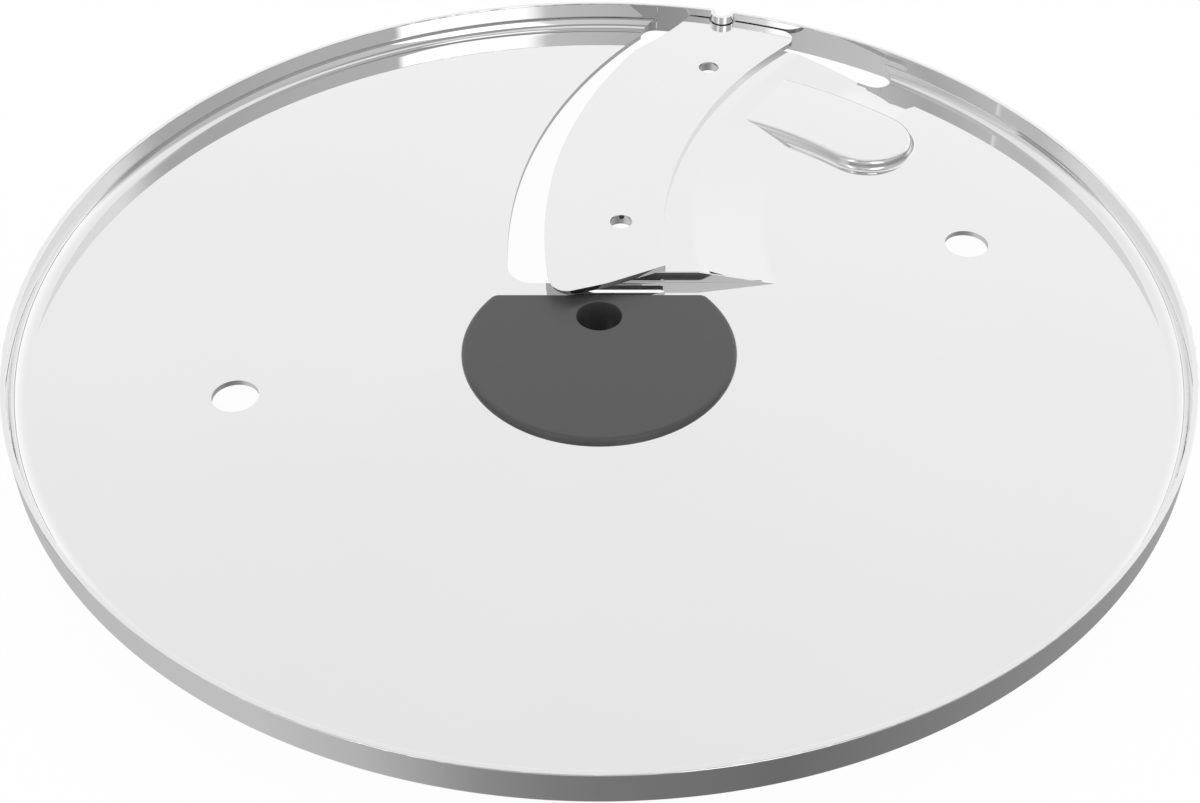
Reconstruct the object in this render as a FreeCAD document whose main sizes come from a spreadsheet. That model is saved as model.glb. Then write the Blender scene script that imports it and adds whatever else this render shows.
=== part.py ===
import FreeCAD, Part
import Sketcher
import os

# Slicing disc of a vegetable machine. Millimetres, +Z up.
# The origin lies on the disc's axis, in the top face of the pan's floor.
# The handle side of the blade's sweep faces -Y, the crescent opening lies at +Y.

os.makedirs("parts", exist_ok=True)
doc = FreeCAD.newDocument("SlicingDisc")

ZERO = "0"
LEFT = 1
RIGHT = -1

SIZES = [
    # name, value, meaning
    ("sheet", 1.0, "thickness of the pan's sheet"),
    ("outer_radius", 102.5, "outside of the rim"),
    ("rim_height", 5.2, "rim's top above the floor's top face"),
    ("rim_fillet", 2.4, "inside bend between floor and rim"),
    ("base_edge", 0.4, "chamfer that stands for the tight outside bend under the rim"),
    ("rim_deburr", 0.2, "chamfer on the rim's two top edges"),
    ("hub_hole_radius", 6.1, "hole in the floor round the hub's spigot"),
    ("drive_hole_radius", 4.0, "the two through holes of the floor"),
    ("near_hole_x", -61.7, "through hole nearer the viewer"),
    ("near_hole_y", -20.3, "through hole nearer the viewer"),
    ("far_hole_x", 68.6, "through hole on the far side"),
    ("far_hole_y", 22.3, "through hole on the far side"),
    ("mouth_left_radius", 117.64, "crescent opening, edge on the sheet's side"),
    ("mouth_low_x", -16.85, "crescent opening, lower end of that edge"),
    ("mouth_low_y", 15.5, "crescent opening, lower end of that edge"),
    ("mouth_crown_heading", 83.69, "crescent opening, start of its edge along the rim"),
    ("mouth_crown_width", 1.65, "crescent opening, width of its round at the rim"),
    ("mouth_crown_depth", 2.0, "crescent opening, depth of its round at the rim"),
    ("mouth_crown_radius", 2.0, "crescent opening, round at the rim"),
    ("mouth_corner_radius", 5.0, "crescent opening, round beside the hub"),
    ("mouth_floor_y", 10.5, "crescent opening, edge beside the hub"),
    ("mouth_turn_x", -8.0, "where that edge turns into the hub-side slot"),
    ("rim_slot_margin", 2.3, "rim-side slot, from its outer edge to the rim's inside"),
    ("rim_slot_width", 4.2, "rim-side slot, between its outer edge and the tongue's end"),
    ("rim_slot_end", 52.5, "rim-side slot, direction of its round end"),
    ("hub_slot_low", 7.7, "hub-side slot, edge nearer the axis"),
    ("hub_slot_high", 9.8, "hub-side slot, edge nearer the tongue"),
    ("hub_slot_end_x", 10.95, "hub-side slot, centre of its round end"),
    ("hub_slot_start_x", -1.0, "hub-side slot, where it leaves the crescent"),
    ("tongue_tip_heading", 79.09, "direction of the tongue's front corner at the rim side"),
    ("tongue_heel_x", -5.44, "tongue's front edge at the hub side"),
    ("edge_radius", 119.05, "blade's cutting edge in plan"),
    ("edge_overhang", 4.0, "blade's cutting edge in front of the tongue's"),
    ("foot_x", 31.5, "ramp's bend line, hub-side end"),
    ("foot_y", 10.3, "ramp's bend line, hub-side end"),
    ("ramp_heading", 156.9, "direction in which the ramp climbs"),
    ("ramp_angle", 7.0, "slope of the ramp"),
    ("pad_height", 2.45, "seat of the blade above the floor"),
    ("bend_radius", 6.0, "bends at the ramp's foot and top"),
    ("step_spread", 0.042, "side step: run of its top line for each mm of length"),
    ("step_foot_spread", 0.001, "side step: run of its foot line for each mm of length"),
    ("step_angle", 80.0, "side step: slope of its web"),
    ("step_end", 0.02, "side step: share of its size left at the bend line"),
    ("pill_heading", 45.3, "stiffening pill: direction of its round end"),
    ("pill_radius", 77.2, "stiffening pill: radius of its centre line"),
    ("pill_half", 10.0, "stiffening pill: half of its width at the foot"),
    ("pill_height", 2.45, "stiffening pill: level of its top, flush with the seat"),
    ("pill_side", 2.6, "stiffening pill: width of its sloping side"),
    ("pill_angle", 58.0, "stiffening pill: slope of its side"),
    ("pill_sweep", 26.0, "stiffening pill: angle that it runs into the ramp"),
    ("form_depth", 4.0, "depth of the forms that shape the tongue"),
    ("form_reach", 62.0, "reach of the ramp form from its bend line"),
    ("form_inset", 0.5, "underside's bends set in by this, to keep the sheet even"),
    ("dimple_heading", 74.85, "rim dimple: direction"),
    ("dimple_margin", 1.1, "rim dimple: from its centre to the outside of the rim"),
    ("dimple_radius", 2.45, "rim dimple: its round inside face"),
    ("groove_margin", 1.04, "rim dimple: from the groove's centre to the outside of the rim"),
    ("groove_radius", 1.65, "rim dimple: the groove outside"),
    ("groove_lip", 1.0, "rim dimple: rounding of the groove's mouth"),
    ("blade_thickness", 1.0, "blade"),
    ("blade_margin", 1.3, "from the blade's edge along the rim to the outside of the rim"),
    ("bevel_width", 3.5, "ground bevel under the cutting edge"),
    ("bevel_land", 0.12, "thickness left at the cutting edge"),
    ("edge_low_x", -9.3, "cutting edge, inner end"),
    ("edge_low_y", 8.4, "cutting edge, inner end"),
    ("flare_heading", 84.875, "direction where the cutting edge flares to the rim"),
    ("flare_depth", 15.457, "start of the flare, inwards from the blade's edge at the rim"),
    ("flare_radius", 66.0, "flare of the cutting edge near the rim"),
    ("flare_end", 78.9, "direction of the blade's outer front corner"),
    ("notch_half_angle", 1.55, "notch round the rim dimple, half of its mouth"),
    ("notch_radius", 2.75, "notch round the rim dimple"),
    ("notch_depth", 2.55, "notch round the rim dimple"),
    ("back_high", 67.39, "direction where the outer back round starts"),
    ("back_corner_heading", 65.428, "outer back round, direction of its end on the back edge"),
    ("back_corner_depth", 4.79, "that end, inwards from the blade's edge at the rim"),
    ("back_corner_radius", 3.5, "outer back round"),
    ("back_radius", 99.88, "blade's back edge in plan"),
    ("back_low_x", 12.0, "back edge, inner end"),
    ("back_low_y", 11.3, "back edge, inner end"),
    ("heel_mid_x", 1.6, "bend in the blade's inner edge"),
    ("heel_mid_y", 6.25, "bend in the blade's inner edge"),
    ("heel_end_x", -5.0, "start of the rounded inner tip"),
    ("heel_end_y", 4.0, "start of the rounded inner tip"),
    ("tip_x", -8.7, "end of the rounded inner tip"),
    ("tip_y", 6.2, "end of the rounded inner tip"),
    ("tip_radius", 3.0, "rounded inner tip"),
    ("tip_blend", 8.0, "blend of the tip into the cutting edge"),
    ("blade_hole_radius", 2.05, "two holes through blade and tongue"),
    ("outer_hole_heading", 73.805, "blade hole near the rim, direction"),
    ("outer_hole_depth", 19.456, "blade hole near the rim, inwards from the blade's edge"),
    ("inner_hole_x", 4.06, "blade hole near the hub"),
    ("inner_hole_y", 24.65, "blade hole near the hub"),
    ("plate_radius", 24.0, "hub plate, round part"),
    ("plate_shift", -8.3, "hub plate, centre of the round part"),
    ("plate_chord", 6.4, "hub plate, straight edge"),
    ("plate_corner", 2.0, "hub plate, its two corners"),
    ("plate_thickness", 1.0, "hub plate"),
    ("plate_edge", 0.6, "hub plate, chamfer that stands for the round of its top edge"),
    ("bore_radius", 4.0, "spindle bore through hub and plate"),
    ("bore_lead", 0.25, "chamfer of the bore's top edge"),
    ("spigot_radius", 6.0, "hub's spigot in the floor's hole"),
    ("flange_radius", 21.0, "hub's flange under the floor"),
    ("flange_thickness", 2.5, "hub's flange under the floor"),
    ("barrel_radius", 16.0, "hub's barrel"),
    ("hub_height", 12.0, "hub below the floor's underside"),
    ("hub_edge", 0.8, "chamfer of the hub's lower edge"),
    ("key_width", 4.2, "cross slot for the spindle's pin"),
    ("key_depth", 4.0, "cross slot for the spindle's pin"),
]

sizes = doc.addObject("Spreadsheet::Sheet", "Sizes")
for place, (name, number, meaning) in enumerate(SIZES, start=1):
    sizes.set("A%d" % place, name)
    sizes.set("B%d" % place, str(number))
    sizes.setAlias("B%d" % place, name)
    sizes.set("C%d" % place, meaning)
doc.recompute()


def named(expression):
    """Puts the sheet's name before each size's name in an expression."""
    words = [name for name, number, meaning in SIZES]
    out = []
    word = ""
    for sign in expression + " ":
        if sign.isalnum() or sign == "_" or (sign == "." and word):
            word += sign
            continue
        out.append("Sizes." + word if word in words else word)
        word = ""
        out.append(sign)
    return "".join(out).strip()


def number_of(expression):
    return float(sizes.evalExpression(named(expression)))


def plane_of(body, role):
    return next(plane for plane in body.Origin.OriginFeatures if plane.Role == role)


def flat_sketch(body, label, height=ZERO, turn=ZERO):
    """A sketch parallel to the floor, at a height and turned about the axis."""
    sketch = body.newObject("Sketcher::SketchObject", label)
    sketch.AttachmentSupport = [(plane_of(body, "XY_Plane"), "")]
    sketch.MapMode = "FlatFace"
    sketch.AttachmentOffset = FreeCAD.Placement(
        FreeCAD.Vector(0, 0, 0), FreeCAD.Rotation(FreeCAD.Vector(0, 0, 1), number_of(turn)))
    sketch.setExpression("AttachmentOffset.Base.z", named(height))
    if turn != ZERO:
        sketch.setExpression("AttachmentOffset.Rotation.Angle", named(turn))
    return sketch


def upright_sketch(body, label, x=ZERO, y=ZERO, turn=ZERO):
    """A vertical sketch through a point of the floor; its first axis has the heading turn."""
    sketch = body.newObject("Sketcher::SketchObject", label)
    sketch.AttachmentSupport = [(plane_of(body, "XZ_Plane"), "")]
    sketch.MapMode = "FlatFace"
    sketch.AttachmentOffset = FreeCAD.Placement(
        FreeCAD.Vector(0, 0, 0), FreeCAD.Rotation(FreeCAD.Vector(0, 1, 0), number_of(turn)))
    sketch.setExpression("AttachmentOffset.Base.x", named(x))
    sketch.setExpression("AttachmentOffset.Base.z", named("-1 * (%s)" % y))
    if turn != ZERO:
        sketch.setExpression("AttachmentOffset.Rotation.Angle", named(turn))
    return sketch


def cross_sketch(body, label, x):
    """A sketch across the X axis at x; its axes are Y and Z."""
    sketch = body.newObject("Sketcher::SketchObject", label)
    sketch.AttachmentSupport = [(plane_of(body, "YZ_Plane"), "")]
    sketch.MapMode = "FlatFace"
    sketch.setExpression("AttachmentOffset.Base.z", named(x))
    return sketch


def arc_between(start, end, radius, side):
    """The shorter arc from start to end with its centre on the given side of the way."""
    middle = (start + end) / 2
    way = end - start
    half = way.Length / 2
    across = FreeCAD.Vector(-way.y, way.x, 0).normalize()
    away = max(radius * radius - half * half, 0) ** 0.5
    centre = middle + across * (away * side)
    up = FreeCAD.Vector(0, 0, 1)
    circle = Part.Circle(centre, up, radius)
    first = start if side == LEFT else end
    last = end if side == LEFT else start
    return Part.ArcOfCircle(circle, circle.parameter(first), circle.parameter(last))


def drive(sketch, label, constraint, expression):
    index = sketch.addConstraint(constraint)
    sketch.renameConstraint(index, label)
    sketch.setExpression("Constraints." + label, named(expression))


def pin_point(sketch, label, piece, end, x, y):
    """Holds a point of the sketch at coordinates that come from the sheet."""
    if x == ZERO:
        sketch.addConstraint(Sketcher.Constraint("PointOnObject", piece, end, -2))
    else:
        rule = Sketcher.Constraint("DistanceX", -1, 1, piece, end, number_of(x))
        drive(sketch, label + "_x", rule, x)
    if y == ZERO:
        sketch.addConstraint(Sketcher.Constraint("PointOnObject", piece, end, -1))
    else:
        rule = Sketcher.Constraint("DistanceY", -1, 1, piece, end, number_of(y))
        drive(sketch, label + "_y", rule, y)


def outline(sketch, corners):
    """A closed outline. Each corner is (x, y) or (x, y, radius, side): an arc to the next."""
    points = [FreeCAD.Vector(number_of(c[0]), number_of(c[1]), 0) for c in corners]
    ends = []
    for index, corner in enumerate(corners):
        start = points[index]
        end = points[(index + 1) % len(points)]
        if len(corner) == 2:
            sketch.addGeometry(Part.LineSegment(start, end), False)
            ends.append((1, 2))
            continue
        radius, side = corner[2], corner[3]
        sketch.addGeometry(arc_between(start, end, number_of(radius), side), False)
        ends.append((1, 2) if side == LEFT else (2, 1))
        rule = Sketcher.Constraint("Radius", index, number_of(radius))
        drive(sketch, "radius_%d" % index, rule, radius)
    for index, corner in enumerate(corners):
        following = (index + 1) % len(corners)
        sketch.addConstraint(Sketcher.Constraint(
            "Coincident", index, ends[index][1], following, ends[following][0]))
        pin_point(sketch, "corner_%d" % index, index, ends[index][0], corner[0], corner[1])


def ring(sketch, label, x, y, radius):
    """A circle in a sketch, held by its centre and radius."""
    middle = FreeCAD.Vector(number_of(x), number_of(y), 0)
    circle = Part.Circle(middle, FreeCAD.Vector(0, 0, 1), number_of(radius))
    piece = sketch.addGeometry(circle, False)
    pin_point(sketch, label + "_centre", piece, 3, x, y)
    rule = Sketcher.Constraint("Radius", piece, number_of(radius))
    drive(sketch, label + "_radius", rule, radius)


def pad(body, label, sketch, length, back=None, reverse=False):
    feature = body.newObject("PartDesign::Pad", label)
    feature.Profile = sketch
    feature.setExpression("Length", named(length))
    if back:
        feature.SideType = "Two sides"
        feature.setExpression("Length2", named(back))
    feature.Reversed = reverse
    feature.Refine = True
    return feature


def pocket(body, label, sketch, length):
    feature = body.newObject("PartDesign::Pocket", label)
    feature.Profile = sketch
    feature.setExpression("Length", named(length))
    feature.Refine = True
    return feature


def turned(body, label, kind, sketch, angle=None):
    feature = body.newObject(kind, label)
    feature.Profile = sketch
    feature.ReferenceAxis = (sketch, ["V_Axis"])
    if angle:
        feature.setExpression("Angle", named(angle))
    else:
        feature.Angle = 360
    return feature


def polar(radius, heading):
    """Coordinates, as expressions, of a point given by radius and direction."""
    return "(%s) * cos(%s)" % (radius, heading), "(%s) * sin(%s)" % (radius, heading)


def chamfered(body, label, base, size, chosen):
    """Chamfers the edges of a feature that the rule picks."""
    doc.recompute()
    picked = ["Edge%d" % (n + 1) for n, edge in enumerate(base.Shape.Edges) if chosen(edge)]
    feature = body.newObject("PartDesign::Chamfer", label)
    feature.Base = (base, picked)
    feature.setExpression("Size", named(size))
    return feature


def lies_at(edge, level):
    box = edge.BoundBox
    return abs(box.ZMin - level) < 0.001 and abs(box.ZMax - level) < 0.001


# Pan before the tongue is formed: turned floor and rim, dimple, holes.

FORM_LOW = "(hub_slot_low + hub_slot_high) / 2"
SLOT_RADIUS = "(outer_radius - sheet - rim_slot_margin)"
TONGUE_RADIUS = "(outer_radius - sheet - rim_slot_margin - rim_slot_width)"
FORM_RADIUS = "(outer_radius - sheet - rim_slot_margin - rim_slot_width / 2)"
FORM_AREA = [
    ("tongue_heel_x - 5", FORM_LOW),
    ("foot_x + 18", FORM_LOW),
    polar(FORM_RADIUS, "rim_slot_end - 15") + (FORM_RADIUS, LEFT),
    polar(FORM_RADIUS, "rim_slot_end + 28.6"),
    ("mouth_turn_x", SLOT_RADIUS + " / 2"),
]

pan = doc.addObject("PartDesign::Body", "PanBlank")
profile = upright_sketch(pan, "PanProfile")
outline(profile, [
    (ZERO, "-sheet"),
    ("outer_radius - base_edge", "-sheet"),
    ("outer_radius", "base_edge - sheet"),
    ("outer_radius", "rim_height - rim_deburr"),
    ("outer_radius - rim_deburr", "rim_height"),
    ("outer_radius - sheet + rim_deburr", "rim_height"),
    ("outer_radius - sheet", "rim_height - rim_deburr"),
    ("outer_radius - sheet", "rim_fillet", "rim_fillet", RIGHT),
    ("outer_radius - sheet - rim_fillet", ZERO),
    (ZERO, ZERO),
])
turned(pan, "PanTurned", "PartDesign::Revolution", profile)

DIMPLE_CENTRE = "outer_radius - dimple_margin"
bump = flat_sketch(pan, "DimpleOutline", "-sheet", "dimple_heading")
outline(bump, [
    ("outer_radius - sheet / 2", "dimple_radius"),
    (DIMPLE_CENTRE, "dimple_radius", "dimple_radius", LEFT),
    (DIMPLE_CENTRE + " - dimple_radius", ZERO, "dimple_radius", LEFT),
    (DIMPLE_CENTRE, "-dimple_radius"),
    ("outer_radius - sheet / 2", "-dimple_radius"),
])
pad(pan, "Dimple", bump, "rim_height + sheet")

groove = flat_sketch(pan, "GrooveOutline", "rim_height + sheet", "dimple_heading")
GROOVE_CENTRE = "outer_radius - groove_margin"
GROOVE_MOUTH = GROOVE_CENTRE + " + groove_lip"
outline(groove, [
    ("outer_radius + sheet", "-groove_radius - groove_lip"),
    (GROOVE_MOUTH, "-groove_radius - groove_lip", "groove_lip", LEFT),
    (GROOVE_CENTRE, "-groove_radius", "groove_radius", RIGHT),
    (GROOVE_CENTRE + " - groove_radius", ZERO, "groove_radius", RIGHT),
    (GROOVE_CENTRE, "groove_radius", "groove_lip", LEFT),
    (GROOVE_MOUTH, "groove_radius + groove_lip"),
    ("outer_radius + sheet", "groove_radius + groove_lip"),
])
pocket(pan, "DimpleGroove", groove, "rim_height + 4 * sheet")

holes = flat_sketch(pan, "FloorHoles", "sheet")
ring(holes, "near", "near_hole_x", "near_hole_y", "drive_hole_radius")
ring(holes, "far", "far_hole_x", "far_hole_y", "drive_hole_radius")
ring(holes, "hub", ZERO, ZERO, "hub_hole_radius")
pocket(pan, "FloorHolesCut", holes, "3 * sheet")

form_gap = flat_sketch(pan, "FormGap", "sheet")
outline(form_gap, FORM_AREA)
pan.Tip = pocket(pan, "FormGapCut", form_gap, "3 * sheet")

# The tongue is the sheet between two forms: the same relief twice, one sheet apart.
# Each form carries the ramp up to the blade's seat, the side step and the pill.

RAMP_RUN = "pad_height / tan(ramp_angle)"
BEND = "bend_radius * tan(ramp_angle / 2)"
CLIMB_X = "-cos(ramp_heading)"
CLIMB_Y = "sin(ramp_heading)"
STEP_LENGTH = "(%s) / (%s + %s * step_spread)" % (RAMP_RUN, CLIMB_X, CLIMB_Y)
STEP_X = "foot_x - " + STEP_LENGTH
SIDE_LIMIT_X = "foot_x + 60"


def step_section(sketch, share, drop, inset, bent):
    """Section across the side step; share is its size in parts of the full size."""
    foot = "foot_y + %s + %s * step_foot_spread * (%s)" % (inset, share, STEP_LENGTH)
    head = "foot_y + %s + %s * step_spread * (%s)" % (inset, share, STEP_LENGTH)
    high = "%s * pad_height - %s" % (share, drop)
    run = "(step_spread - step_foot_spread) * (%s)" % STEP_LENGTH
    bend = "(%s * sin(step_angle) - pad_height * cos(step_angle)) / 2 / (1 - cos(step_angle))" % run
    round_off = "%s * (%s)" % (share, bend)
    aside = "%s * sin(step_angle)" % round_off
    rise = "%s * (1 - cos(step_angle))" % round_off
    if not bent:
        outline(sketch, [
            (foot, "-form_depth - " + drop),
            (foot, "0 - " + drop),
            (head, high),
            (head, "-form_depth - " + drop),
        ])
        return
    outline(sketch, [
        (foot, "-form_depth - " + drop),
        (foot, "0 - " + drop, round_off, LEFT),
        ("%s + %s" % (foot, aside), "%s - %s" % (rise, drop)),
        ("%s - %s" % (head, aside), "%s - %s" % (high, rise), round_off, RIGHT),
        (head, high),
        (head, "-form_depth - " + drop),
    ])


def pill_side(drop, inset):
    """Sizes of the pill's sloping side: its foot, its head, and the offsets of its bends."""
    bend = "(pill_side * sin(pill_angle) - pill_height * cos(pill_angle)) / 2 / (1 - cos(pill_angle))"
    foot = "pill_half - " + inset
    return bend, foot, "%s - pill_side" % foot, "(%s) * sin(pill_angle)" % bend, \
        "(%s) * (1 - cos(pill_angle))" % bend


def form(label, drop, inset, bent):
    """A solid whose top is the tongue's relief, lowered by drop; bent gives its edges a bend."""
    body = doc.addObject("PartDesign::Body", label)
    level = "-form_depth - " + drop
    ground = flat_sketch(body, label + "Ground", level)
    outline(ground, [
        ("mouth_low_x", "hub_slot_low - 1"),
        ("foot_x + 25", "hub_slot_low - 1"),
        ("outer_radius - 20", "outer_radius / 2"),
        ("outer_radius - 40", "outer_radius - 5"),
        ("mouth_low_x", "outer_radius - 5"),
    ])
    pad(body, label + "Floor", ground, "form_depth")

    ramp = upright_sketch(body, label + "RampProfile", "foot_x", "foot_y", "ramp_heading")
    start = "-(%s)" % BEND
    near, near_up = "(%s) * cos(ramp_angle)" % BEND, "(%s) * sin(ramp_angle)" % BEND
    outline(ramp, [
        (start, level),
        (start, "0 - " + drop, "bend_radius", LEFT),
        (near, "%s - %s" % (near_up, drop)),
        ("%s - %s" % (RAMP_RUN, near), "pad_height - %s - %s" % (near_up, drop),
         "bend_radius", RIGHT),
        ("%s + %s" % (RAMP_RUN, BEND), "pad_height - " + drop),
        ("form_reach", "pad_height - " + drop),
        ("form_reach", level),
    ])
    pad(body, label + "Ramp", ramp, "outer_radius", "25")

    trim = flat_sketch(body, label + "SideTrim", "2 * form_depth - " + drop)
    head = "foot_y + %s + step_spread * (%s)" % (inset, STEP_LENGTH)
    outline(trim, [
        ("foot_x", "foot_y + " + inset),
        (STEP_X, head),
        ("mouth_low_x - 60", head),
        ("mouth_low_x - 60", "foot_y - 60"),
        (SIDE_LIMIT_X, "foot_y - 60"),
        (SIDE_LIMIT_X, "foot_y + " + inset),
    ])
    pocket(body, label + "Side", trim, "2 * form_depth")

    full = cross_sketch(body, label + "StepFull", STEP_X)
    step_section(full, "1", drop, inset, bent)
    faint = cross_sketch(body, label + "StepFaint", "foot_x - step_end * (%s)" % STEP_LENGTH)
    step_section(faint, "step_end", drop, inset, bent)
    loft = body.newObject("PartDesign::AdditiveLoft", label + "Step")
    loft.Profile = full
    loft.Sections = [faint]
    loft.Ruled = True
    level_part = cross_sketch(body, label + "StepLevel", STEP_X)
    step_section(level_part, "1", drop, inset, bent)
    pad(body, label + "StepRun", level_part, "%s - mouth_low_x" % STEP_X, None, True)

    bend, foot, head_at, aside, rise = pill_side(drop, inset)
    high = "pill_height - " + drop
    run = upright_sketch(body, label + "PillProfile", ZERO, ZERO, "pill_heading")
    outline(run, [
        ("pill_radius - (%s)" % foot, level),
        ("pill_radius + %s" % foot, level),
        ("pill_radius + %s" % foot, "0 - " + drop),
        ("pill_radius + " + head_at, high),
        ("pill_radius - (%s)" % head_at, high),
        ("pill_radius - (%s)" % foot, "0 - " + drop),
    ] if not bent else [
        ("pill_radius - (%s)" % foot, level),
        ("pill_radius + %s" % foot, level),
        ("pill_radius + %s" % foot, "0 - " + drop, bend, RIGHT),
        ("pill_radius + %s - %s" % (foot, aside), "%s - %s" % (rise, drop)),
        ("pill_radius + %s + %s" % (head_at, aside), "%s - %s" % (high, rise), bend, LEFT),
        ("pill_radius + " + head_at, high),
        ("pill_radius - (%s)" % head_at, high, bend, LEFT),
        ("pill_radius - (%s + %s)" % (head_at, aside), "%s - %s" % (high, rise)),
        ("pill_radius - (%s - %s)" % (foot, aside), "%s - %s" % (rise, drop), bend, RIGHT),
        ("pill_radius - (%s)" % foot, "0 - " + drop),
    ])
    turned(body, label + "Pill", "PartDesign::Revolution", run, "pill_sweep")
    x, y = polar("pill_radius", "pill_heading")
    cap = upright_sketch(body, label + "PillEndProfile", x, y, "pill_heading")
    outline(cap, [
        (ZERO, level),
        (foot, level),
        (foot, "0 - " + drop),
        (head_at, high),
        (ZERO, high),
    ] if not bent else [
        (ZERO, level),
        (foot, level),
        (foot, "0 - " + drop, bend, RIGHT),
        ("%s - %s" % (foot, aside), "%s - %s" % (rise, drop)),
        ("%s + %s" % (head_at, aside), "%s - %s" % (high, rise), bend, LEFT),
        (head_at, high),
        (ZERO, high),
    ])
    body.Tip = turned(body, label + "PillEnd", "PartDesign::Revolution", cap)
    return body


upper_form = form("UpperForm", "0", "0", True)
lower_form = form("LowerForm", "sheet", "form_inset", False)

area = doc.addObject("PartDesign::Body", "FormArea")
area_sketch = flat_sketch(area, "FormAreaOutline", "-form_depth")
outline(area_sketch, FORM_AREA)
pad(area, "FormAreaBlock", area_sketch, "3 * form_depth")

openings = doc.addObject("PartDesign::Body", "Openings")
mouth = flat_sketch(openings, "OpeningOutline", "-form_depth")
SLOT_ROUND = "rim_slot_width / 2"
HUB_SLOT_ROUND = "(hub_slot_high - hub_slot_low) / 2"
slot_tip_x = "(%s) * cos(rim_slot_end) + %s * sin(rim_slot_end)" % (FORM_RADIUS, SLOT_ROUND)
slot_tip_y = "(%s) * sin(rim_slot_end) - %s * cos(rim_slot_end)" % (FORM_RADIUS, SLOT_ROUND)
crown_x, crown_y = polar(SLOT_RADIUS, "mouth_crown_heading")
outline(mouth, [
    ("mouth_low_x", "mouth_low_y", "mouth_left_radius", RIGHT),
    (crown_x + " - mouth_crown_width", crown_y + " - mouth_crown_depth",
     "mouth_crown_radius", RIGHT),
    (crown_x, crown_y, SLOT_RADIUS, RIGHT),
    polar(SLOT_RADIUS, "rim_slot_end") + (SLOT_ROUND, RIGHT),
    (slot_tip_x, slot_tip_y, SLOT_ROUND, RIGHT),
    polar(TONGUE_RADIUS, "rim_slot_end") + (TONGUE_RADIUS, LEFT),
    polar(TONGUE_RADIUS, "tongue_tip_heading") + ("edge_radius - edge_overhang", LEFT),
    ("tongue_heel_x", "hub_slot_high"),
    ("hub_slot_end_x", "hub_slot_high", HUB_SLOT_ROUND, RIGHT),
    ("hub_slot_end_x + %s" % HUB_SLOT_ROUND, FORM_LOW, HUB_SLOT_ROUND, RIGHT),
    ("hub_slot_end_x", "hub_slot_low"),
    ("hub_slot_start_x", "hub_slot_low"),
    ("mouth_turn_x", "mouth_floor_y"),
    ("mouth_low_x + mouth_corner_radius", "mouth_floor_y", "mouth_corner_radius", RIGHT),
])
pad(openings, "OpeningBlock", mouth, "form_depth + pad_height + sheet")

BLADE_RADIUS = "(outer_radius - blade_margin)"
BLADE_HOLES = {
    "outer": polar("(%s - outer_hole_depth)" % BLADE_RADIUS, "outer_hole_heading"),
    "inner": ("inner_hole_x", "inner_hole_y"),
}
seat_holes = []
for end, (x, y) in BLADE_HOLES.items():
    drill = doc.addObject("Part::Cylinder", end.title() + "SeatHole")
    drill.setExpression("Radius", named("blade_hole_radius"))
    drill.setExpression("Height", named("3 * form_depth"))
    drill.setExpression("Placement.Base.x", named(x))
    drill.setExpression("Placement.Base.y", named(y))
    drill.setExpression("Placement.Base.z", named("-form_depth"))
    seat_holes.append(drill)

formed = doc.addObject("Part::Cut", "FormedSheet")
formed.Base = upper_form
formed.Tool = lower_form
tongue = doc.addObject("Part::Common", "FormedTongue")
tongue.Base = formed
tongue.Tool = area
joined = doc.addObject("Part::Fuse", "FormedPan")
joined.Base = pan
joined.Tool = tongue
joined.Refine = True
cutters = doc.addObject("Part::MultiFuse", "PanOpenings")
cutters.Shapes = [openings] + seat_holes
disc_pan = doc.addObject("Part::Cut", "disc_pan")
disc_pan.Base = joined
disc_pan.Tool = cutters
disc_pan.Refine = True

# Blade: a level plate on the tongue's seat, its cutting edge ground from below.

blade = doc.addObject("PartDesign::Body", "slicing_blade")
flare_x, flare_y = polar("(%s - flare_depth)" % BLADE_RADIUS, "flare_heading")
plan = flat_sketch(blade, "BladeOutline", "pad_height")
outline(plan, [
    ("edge_low_x", "edge_low_y", "edge_radius", RIGHT),
    (flare_x, flare_y, "flare_radius", LEFT),
    polar(BLADE_RADIUS, "flare_end") + (BLADE_RADIUS, RIGHT),
    polar(BLADE_RADIUS, "dimple_heading + notch_half_angle") + ("notch_radius", LEFT),
    polar("(%s - notch_depth)" % BLADE_RADIUS, "dimple_heading") + ("notch_radius", LEFT),
    polar(BLADE_RADIUS, "dimple_heading - notch_half_angle") + (BLADE_RADIUS, RIGHT),
    polar(BLADE_RADIUS, "back_high") + ("back_corner_radius", RIGHT),
    polar("(%s - back_corner_depth)" % BLADE_RADIUS, "back_corner_heading")
    + ("back_radius", LEFT),
    ("back_low_x", "back_low_y"),
    ("heel_mid_x", "heel_mid_y"),
    ("heel_end_x", "heel_end_y", "tip_radius", RIGHT),
    ("tip_x", "tip_y", "tip_blend", RIGHT),
])
pad(blade, "BladePlate", plan, "blade_thickness")
blade_holes = flat_sketch(blade, "BladeHoles", "pad_height + 2 * blade_thickness")
for end, (x, y) in BLADE_HOLES.items():
    ring(blade_holes, end, x, y, "blade_hole_radius")
pocket(blade, "BladeHolesCut", blade_holes, "3 * blade_thickness")

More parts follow.
